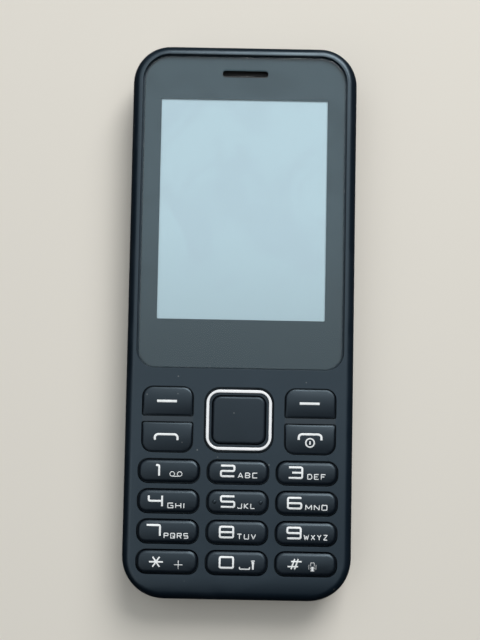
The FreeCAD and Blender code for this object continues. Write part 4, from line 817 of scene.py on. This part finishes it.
def make_lens_print():
    """The thin print behind the lens, open at the display and at the slot."""
    size, place, low, _ = form_of("screen_lens")
    inset, slot = 0.15 * MM, (10.2 * MM, 1.5 * MM)
    window_corner, slot_corner = 0.25 * MM, 0.7 * MM
    mask = block("lens_print", grown(size, -2 * inset), place, low.z + 0.02 * MM,
                 low.z + 0.05 * MM, *(radius - inset for radius in LENS_CORNERS), steps=14)
    carve(mask,
          block("window", DISPLAY_WINDOW, (0, DISPLAY_WINDOW[1] / 2), low.z - MM, low.z + MM,
                window_corner, steps=3),
          block("slot", slot, EARPIECE_SLOT, low.z - MM, low.z + MM, slot_corner, steps=6))
    return mask


def make_display():
    """The display's glass, with the smaller polariser on it."""
    size, place, low, high = form_of("display_panel")
    glass_top = high.z - 0.12 * MM
    panel = block("display_glass", size, place, low.z, glass_top, 0.3 * MM)
    soften(panel, rims(1), 0.06 * MM, 2)
    polariser = block("polariser", grown(size, -1.2 * MM, -1.6 * MM),
                      (place[0], place[1] + 0.3 * MM), glass_top - 0.01 * MM, high.z, 0.3 * MM)
    carve(panel, polariser, operation="UNION")
    return panel


def make_weave(name, part, sizes):
    """A woven wire mesh in place of a CAD node, its wires going over and under."""
    size, place, low, high = form_of(part)
    bpy.ops.object.select_all(action="DESELECT")
    bpy.ops.mesh.primitive_grid_add(
        x_subdivisions=round(size[0] / sizes.weave_pitch),
        y_subdivisions=round(size[1] / sizes.weave_pitch), size=1,
        location=(*place, (low.z + high.z) / 2))
    bpy.context.object.scale = (*grown(size, -sizes.weave_wire), 1)
    weave = settle(name)
    sway = 0.2 * sizes.weave_wire
    for point in weave.data.vertices:
        across = round((point.co.x - place[0]) / sizes.weave_pitch)
        along = round((point.co.y - place[1]) / sizes.weave_pitch)
        point.co.z += sway if (across + along) % 2 else -sway
    change(weave, "WIREFRAME", thickness=sizes.weave_wire, use_even_offset=False,
           use_boundary=True)
    close_up(weave)
    finish(weave, "root", "mesh_steel", metal(name + " wire", (0.005, 0.005, 0.006), 0.6), part)


class PHONE_OT_screen(bpy.types.Operator):
    """Model the lens, the print behind it, the display and the two woven meshes"""

    bl_idname = "phone.screen"
    bl_label = "Screen and meshes"

    def execute(self, context):
        sizes, colours = context.scene.phone_sizes, context.scene.phone_colours
        finish(make_lens(), "root", "screen_lens", clear_material(), "screen_lens")
        # the lens print and the display below both get painted shade towards their lower ends
        dark = flat_with_painted_shade("lens print", colours.mask, scaled(colours.mask, 0.72),
                            "screen_lens", lowest=0.68, scale=95.0, smudge=0.4, polished=0.5,
                            dull=0.6, shine=0.1)
        finish(make_lens_print(), "root", "screen_lens", dark)
        resting = flat_with_painted_shade("resting display", colours.display, (0.43, 0.5332, 0.6106),
                               "display_panel", lowest=0.85, scale=55.0, smudge=0.30,
                               polished=0.42, dull=0.5, shine=0.2)
        finish(make_display(), "root", "panel_glass", resting, "display_panel")
        make_weave("earpiece_weave", "earpiece_mesh", sizes)
        make_weave("speaker_weave", "loudspeaker_mesh", sizes)
        return {"FINISHED"}


# ------------------------------------------------------------------ the keys and the pad

def crowned_key(name, size, centre, foot, shoulder, top, reach, upper, lower, sizes, crown):
    """A key cap on its flange, its top bent to a crown and its upper edge rounded."""
    key = block(name, grown(size, 2 * reach), centre, foot, shoulder, upper + reach,
                lower + reach)
    step_in(key, 1, (reach, top - shoulder))
    half = (size[0] / 2, size[1] / 2)
    rounding = min(sizes.key_edge, 0.85 * upper, 0.85 * lower)
    almost_top, bend, side_fall = top - 0.01 * MM, top - 1.5 * rounding, 0.4
    soften(key, lambda edge: rims(1)(edge) and middle(edge).z > almost_top, rounding, 5)
    along_cuts = (-0.68, -0.45, -0.15, 0.15, 0.45, 0.68)
    across_cuts = (-0.88, -0.6, -0.2, 0.2, 0.6, 0.88)
    slices(key, "y", [centre[1] + half[1] * part for part in along_cuts])
    slices(key, "x", [centre[0] + half[0] * part for part in across_cuts])
    lower_points(key, bend, lambda co: crown * (co.z - bend) / (top - bend) * (
        ((co.y - centre[1]) / half[1]) ** 2
        + side_fall * ((co.x - centre[0]) / half[0]) ** 4))
    return key


def add_pips(cap, along, top):
    """Adds the two small domes that mark the middle key."""
    radius, rounding, stands_out = 0.46 * MM, 0.3 * MM, 0.12 * MM
    for across in (-4.95 * MM, 5.0 * MM):
        pip = rod("pip", radius, (across, along), top - 0.6 * MM, top + stands_out, sides=24)
        soften(pip, rims(1), rounding, 4)
        carve(cap, pip, operation="UNION")


class PHONE_OT_keys(bpy.types.Operator):
    """Model the number keys and the four function keys with their print"""

    bl_idname = "phone.keys"
    bl_label = "Keys and print"

    def execute(self, context):
        sizes, colours = context.scene.phone_sizes, context.scene.phone_colours
        caps = plastic("key plastic", colours.keys, 0.36, grain=4200.0, depth=0.010,
                       tone=0.10, smudge=0.12, dust=0.25, shine=0.62, sky=SHEEN)
        ink = plastic("white ink", colours.print_ink, 0.5, grain=6000.0, depth=0.003,
                      tone=0.05, tone_scale=700.0)
        reach, flange, number_corner = 0.45 * MM, 0.9 * MM, 1.95 * MM
        for key in NUMBER_KEYS + FUNCTION_KEYS:
            size, centre, low, high = form_of(key)
            corners = (number_corner, number_corner)
            if key in FUNCTION_KEYS:
                corners = function_corners(key, 2.1 * MM, 0.45 * MM)
            cap = crowned_key("cap_" + key, grown(size, -2 * reach), centre, low.z,
                              low.z + flange, high.z, reach, *corners, sizes,
                              sizes.key_crown)
            if key == "key_5":
                add_pips(cap, centre[1] + 0.1 * MM, high.z)
            finish(cap, key, "key_black", caps, key)
            finish(make_print("print_" + key, key_lines(key, sizes), centre, cap, sizes), key,
                   "key_black", ink)
        return {"FINISHED"}


def make_trim():
    """The bright trim that lies on the rocking ring."""
    size, centre, low, high = form_of("nav_trim")
    outer_corner, inner_corner, edge_round = 3.0 * MM, 2.1 * MM, 0.16 * MM
    trim = block("bright_ring", size, centre, low.z, high.z, outer_corner, steps=12)
    carve(trim, block("bore", grown(size, -2 * TRIM_BAND), centre, low.z - MM, high.z + MM,
                      inner_corner, steps=12))
    return soften(trim, rims(1), edge_round, 4)


def make_rocker(cap, flange):
    """The rocking ring, stepped up to the trim and to its lip round the select key."""
    size, centre, low, high = form_of("nav_trim")
    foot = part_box("nav_ring")[0].z
    step, skirt, outer_corner, inner_corner = 0.75 * MM, 0.5 * MM, 3.75 * MM, 1.95 * MM
    rocker = block("rocker", grown(size, 2 * step), centre, foot, foot + skirt, outer_corner,
                   steps=10)
    lip = high.z - low.z - 0.25 * MM
    step_in(rocker, 1, (step, low.z - foot - skirt), (TRIM_BAND, lip))
    carve(rocker, block("bore", grown(cap, 0.28 * MM), centre, foot - MM, high.z + MM,
                        inner_corner))
    carve(rocker, block("rebate", grown(flange, 0.3 * MM), centre, foot - MM, foot + MM))
    above_trim_foot, edge_round = low.z + 0.1 * MM, 0.08 * MM
    return soften(rocker, lambda edge: rims(1)(edge) and middle(edge).z > above_trim_foot,
                  edge_round, 2)


class PHONE_OT_select_pad(bpy.types.Operator):
    """Model the rocking ring, its bright trim and the select key"""

    bl_idname = "phone.select_pad"
    bl_label = "Five-way pad"

    def execute(self, context):
        sizes, colours = context.scene.phone_sizes, context.scene.phone_colours
        dark = plastic("pad plastic", scaled(colours.keys, 1.15), 0.38, depth=0.010,
                       tone=0.08, smudge=0.1, dust=0.25, shine=0.64, sky=SHEEN)
        bright = plastic("bright trim", colours.trim, 0.30, grain=5000.0, depth=0.002,
                         tone=0.02, metallic=0.1)
        finish(make_trim(), "nav_ring", "bright_trim", bright, "nav_trim")
        flange, centre, low, high = form_of("select_key")
        reach, corner, crown = 0.35 * MM, 1.8 * MM, 0.10 * MM
        cap = grown(flange, -2 * reach)
        finish(make_rocker(cap, flange), "nav_ring", "key_black", dark, "nav_ring")
        pad = crowned_key("select_cap", cap, centre, low.z, low.z + 0.5 * MM, high.z, reach,
                          corner, corner, sizes, crown)
        finish(pad, "select_key", "key_black", dark, "select_key")
        return {"FINISHED"}


# ------------------------------------------------------------------ the back

def make_cover(sizes):
    """The back: a dish with the holes for the camera, the torch, the sound and a nail."""
    plan, centre, low, high = form_of("battery_cover")
    wall = 1.1 * MM
    cover = block("back_cover", plan, centre, low.z, high.z, *BODY_CORNERS, steps=14)
    soften(cover, rims(-1), sizes.cover_round, 8)
    inner = block("dish", grown(plan, -2 * wall), centre, low.z + wall, high.z + MM,
                  *(radius - wall for radius in BODY_CORNERS), steps=12)
    soften(inner, rims(-1), sizes.cover_round - wall, 5)
    carve(cover, inner)
    (camera, _), eye = form_of("camera_window")[:2]
    torch, sound = form_of("torch_lens")[1], form_of("loudspeaker")[1]
    through, slot, pitch = (low.z - MM, 2 * MM), (9 * MM, 1 * MM), 2 * MM
    torch_radius, nail = 1.6 * MM, (14 * MM, 1.1 * MM)
    cuts = [rod("camera_hole", camera / 2 + 0.1 * MM, eye, *through, sides=48),
            rod("torch_hole", torch_radius, torch, *through, sides=32)]
    cuts += [block("slot", slot, (sound[0], sound[1] + (row - 1.5) * pitch), *through,
                   0.49 * MM, steps=5) for row in range(4)]
    carve(cover, *cuts)
    carve(cover, block("nail_notch", nail, (0, low.y), high.z - MM, high.z + MM))
    ease_edges(cover, sizes.opening_ease)
    return cover


def make_camera_glass():
    """The camera window, with two steps down to the lens."""
    (width, _), eye, low, high = form_of("camera_window")
    window = rod("camera_glass", width / 2, eye, low.z, high.z, sides=48)
    soften(window, rims(-1), 0.12 * MM, 2)
    step_in(window, -1, (0.75 * MM, 0.15 * MM), (0.9 * MM, 0.2 * MM))
    return window


class PHONE_OT_back(bpy.types.Operator):
    """Model the battery cover, the camera window and the battery"""

    bl_idname = "phone.back"
    bl_label = "Back and battery"

    def execute(self, context):
        sizes, colours = context.scene.phone_sizes, context.scene.phone_colours
        back = plastic("back plastic", colours.cover, 0.44, grain=2400.0, depth=0.03,
                       tone=0.08, tone_scale=40.0, smudge=0.12, dust=0.4)
        finish(make_cover(sizes), "battery_cover", "cover_black", back, "battery_cover",
               angle=40)
        glass = plastic("window glass", (0.012, 0.013, 0.018), 0.05, depth=0.001, coat=1.0,
                        tone=0.05)
        finish(make_camera_glass(), "root", "window_glass", glass, "camera_window")

        size, centre, low, high = form_of("battery")
        pack = block("battery_pack", size, centre, low.z, high.z, 1.2 * MM, steps=5)
        soften(pack, lambda edge: rims(1)(edge) or rims(-1)(edge), 0.5 * MM, 3)
        finish(pack, "battery", "battery_wrap", wrap_material(high), "battery")
        return {"FINISHED"}


class PHONE_OT_inner_parts(bpy.types.Operator):
    """Give each inner piece the finish of its material"""

    bl_idname = "phone.inner_parts"
    bl_label = "Inner pieces"

    def execute(self, context):
        finishes = {
            plastic("inner plastic", (0.030, 0.031, 0.033), 0.5, grain=2600.0, depth=0.02):
                ("rear_housing",),
            plastic("module plastic", (0.026, 0.026, 0.027), 0.5, grain=3500.0):
                ("camera_module", "headset_jack", "earpiece", "loudspeaker", "board_chips"),
            metal("pressed steel", (0.60, 0.60, 0.61), 0.28):
                ("display_tray", "shield_cans", "sim_sockets", "memory_socket", "usb_socket",
                 "vibration_motor", "microphone"),
            metal("screw steel", (0.22, 0.22, 0.23), 0.35): ("housing_screws",),
            metal("gold contacts", (0.80, 0.58, 0.24), 0.25): ("battery_contacts", "antenna"),
            plastic("board lacquer", (0.015, 0.14, 0.065), 0.3, grain=900.0, depth=0.02,
                    tone=0.25, tone_scale=400.0, coat=0.4): ("main_board",),
            plastic("tape", (0.012, 0.012, 0.013), 0.7, grain=2500.0): ("lens_tape",),
            plastic("light guide", (0.80, 0.83, 0.86), 0.2, coat=0.3): ("display_backlight",),
            plastic("amber film", (0.45, 0.20, 0.03), 0.25, tone=0.2): ("display_flex",),
            plastic("dome film", (0.70, 0.70, 0.66), 0.3): ("dome_sheet",),
            plastic("silicone", (0.05, 0.05, 0.052), 0.65): ("keypad_mat", "nav_studs"),
            plastic("lamp resin", (0.85, 0.80, 0.45), 0.25): ("torch_lamp",),
            plastic("clear pipe", (0.72, 0.75, 0.77), 0.08, coat=1.0, tone=0.03):
                ("torch_lens",),
        }
        for material, names in finishes.items():
            for name in names:
                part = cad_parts[name]
                part.data.materials.clear()
                part.data.materials.append(material)
        return {"FINISHED"}


# ------------------------------------------------------------------ the stage

def floor_material(colours):
    """A matt floor that fades into an even backdrop and can't be seen from below."""
    material, tree, shader = new_material("pale floor")
    shader.inputs["Roughness"].default_value = 0.9
    shader.inputs["Specular IOR Level"].default_value = 0.0
    shader.inputs["Base Color"].default_value = (*colours.floor, 1)
    place = place_on(tree)
    flat = node(tree, "CombineXYZ", {0: place["X"], 1: place["Y"]}).outputs[0]
    reach = node(tree, "VectorMath", {0: flat}, operation="LENGTH").outputs["Value"]
    backdrop = node(tree, "Emission", {"Color": (*colours.floor, 1)})
    sweep = node(tree, "MixShader", {0: ramp(tree, reach, 0.16, 0.75), 1: shader.outputs[0],
                                     2: backdrop.outputs[0]})
    below = node(tree, "NewGeometry").outputs["Backfacing"]
    sides = node(tree, "MixShader", {0: below, 1: sweep.outputs[0],
                                     2: node(tree, "BsdfTransparent").outputs[0]})
    tree.links.new(sides.outputs[0], tree.nodes["Material Output"].inputs["Surface"])
    return material


def make_floor(colours):
    """The floor just under the back, which casts no light on the phone."""
    bpy.ops.object.select_all(action="DESELECT")
    bpy.ops.mesh.primitive_plane_add(size=6, location=(0, 0, -0.02 * MM))
    floor = settle("floor")
    floor.data.materials.append(floor_material(colours))
    floor.visible_diffuse = False
    floor.visible_shadow = False
    floor.visible_glossy = False


def make_room(scene, colours):
    """A room that is bright overhead and ahead, dark round the horizon, and plain to look at."""
    dark_behind, dark_ahead, dark_under = 0.60, 0.34, 0.90  # how high the dark band reaches
    scene.world = bpy.data.worlds.new("soft room")
    scene.world.use_nodes = True
    tree = scene.world.node_tree
    way = node(tree, "SeparateXYZ", {0: node(tree, "TexCoord").outputs["Generated"]}).outputs
    rays = node(tree, "LightPath").outputs
    mirrored = maths(tree, "MULTIPLY", maths(tree, "LESS_THAN", way["Z"]),
                     rays["Is Glossy Ray"])
    band = ramp(tree, way["Y"], 0.0, 0.6, dark_behind, dark_ahead)
    lowest = node(tree, "Mix", {0: mirrored, 2: band, 3: dark_under}).outputs[0]
    sky = ramp(tree, maths(tree, "ABSOLUTE", way["Z"]), lowest, 0.98, 0.02, 1.03)
    side = ramp(tree, way["Y"], -0.45, 0.65, 0.22, 1.86)
    tint = mixed(tree, maths(tree, "MULTIPLY", sky, side), (0.0, 0.0, 0.0), (0.95, 1.0, 1.03))
    seen = mixed(tree, rays["Is Camera Ray"], tint, colours.floor)
    tree.links.new(seen, tree.nodes["Background"].inputs["Color"])


def make_lamp(scene, name, place, width, power):
    """A square lamp turned to the phone."""
    light = bpy.data.lights.new(name, "AREA")
    light.shape = "SQUARE"
    light.size = width
    light.energy = power
    lamp = bpy.data.objects.new(name, light)
    scene.collection.objects.link(lamp)
    lamp.location = place
    lamp.rotation_euler = Vector(place).to_track_quat("Z", "Y").to_euler()


def make_camera(scene):
    """The camera, which looks almost straight down on the front."""
    camera = bpy.data.cameras.new("camera")
    camera.sensor_width = 36
    camera.lens = 54.11
    camera.clip_start, camera.clip_end = 0.01, 20
    eye = bpy.data.objects.new("camera", camera)
    scene.collection.objects.link(eye)
    roll, yaw, pitch = (Matrix.Rotation(math.radians(degrees), 3, axis)
                        for degrees, axis in ((-1.08, "Z"), (-0.17, "Y"), (-3.19, "X")))
    turn = (roll @ yaw @ pitch).transposed()
    offset = Vector((0.18, 0.07, -209.48)) * MM
    eye.matrix_world = (Matrix.Translation(turn @ -offset + Vector((0, 0, FRONT_FACE)))
                        @ turn.to_4x4())
    scene.camera = eye


class PHONE_OT_stage(bpy.types.Operator):
    """Set the pale floor, the soft light and the camera"""

    bl_idname = "phone.stage"
    bl_label = "Stage"

    def execute(self, context):
        scene, colours = context.scene, context.scene.phone_colours
        make_floor(colours)
        make_room(scene, colours)
        make_lamp(scene, "window", (0.24, 0.64, 0.60), 0.50, 6.6)
        make_lamp(scene, "fill", (-0.45, -0.35, 0.70), 0.70, 0.8)
        make_camera(scene)
        scene.view_settings.view_transform = "Standard"
        return {"FINISHED"}


class PHONE_PT_panel(bpy.types.Panel):
    """The sizes, the colours and the steps, in order"""

    bl_idname = "PHONE_PT_panel"
    bl_label = "Keypad Phone"
    bl_space_type = "VIEW_3D"
    bl_region_type = "UI"
    bl_category = "Keypad Phone"

    def draw(self, context):
        for group in (context.scene.phone_sizes, context.scene.phone_colours):
            box = self.layout.box()
            for name in group.__annotations__:
                box.prop(group, name)
        for step in STEPS:
            self.layout.operator(step.bl_idname)


STEPS = (PHONE_OT_front_shell, PHONE_OT_screen, PHONE_OT_keys, PHONE_OT_select_pad,
         PHONE_OT_back, PHONE_OT_inner_parts, PHONE_OT_stage)
CLASSES = (PhoneSizes, PhoneColours, *STEPS, PHONE_PT_panel)


def register():
    for item in CLASSES:
        bpy.utils.register_class(item)
    bpy.types.Scene.phone_sizes = PointerProperty(type=PhoneSizes)
    bpy.types.Scene.phone_colours = PointerProperty(type=PhoneColours)


def unregister():
    del bpy.types.Scene.phone_colours
    del bpy.types.Scene.phone_sizes
    for item in reversed(CLASSES):
        bpy.utils.unregister_class(item)


def main():
    register()
    for make_effect in (make_grain_group, make_touch_group, make_brush_group):
        make_effect()
    for step in STEPS:
        space, name = step.bl_idname.split(".")
        getattr(getattr(bpy.ops, space), name)()


if __name__ == "__main__":
    main()
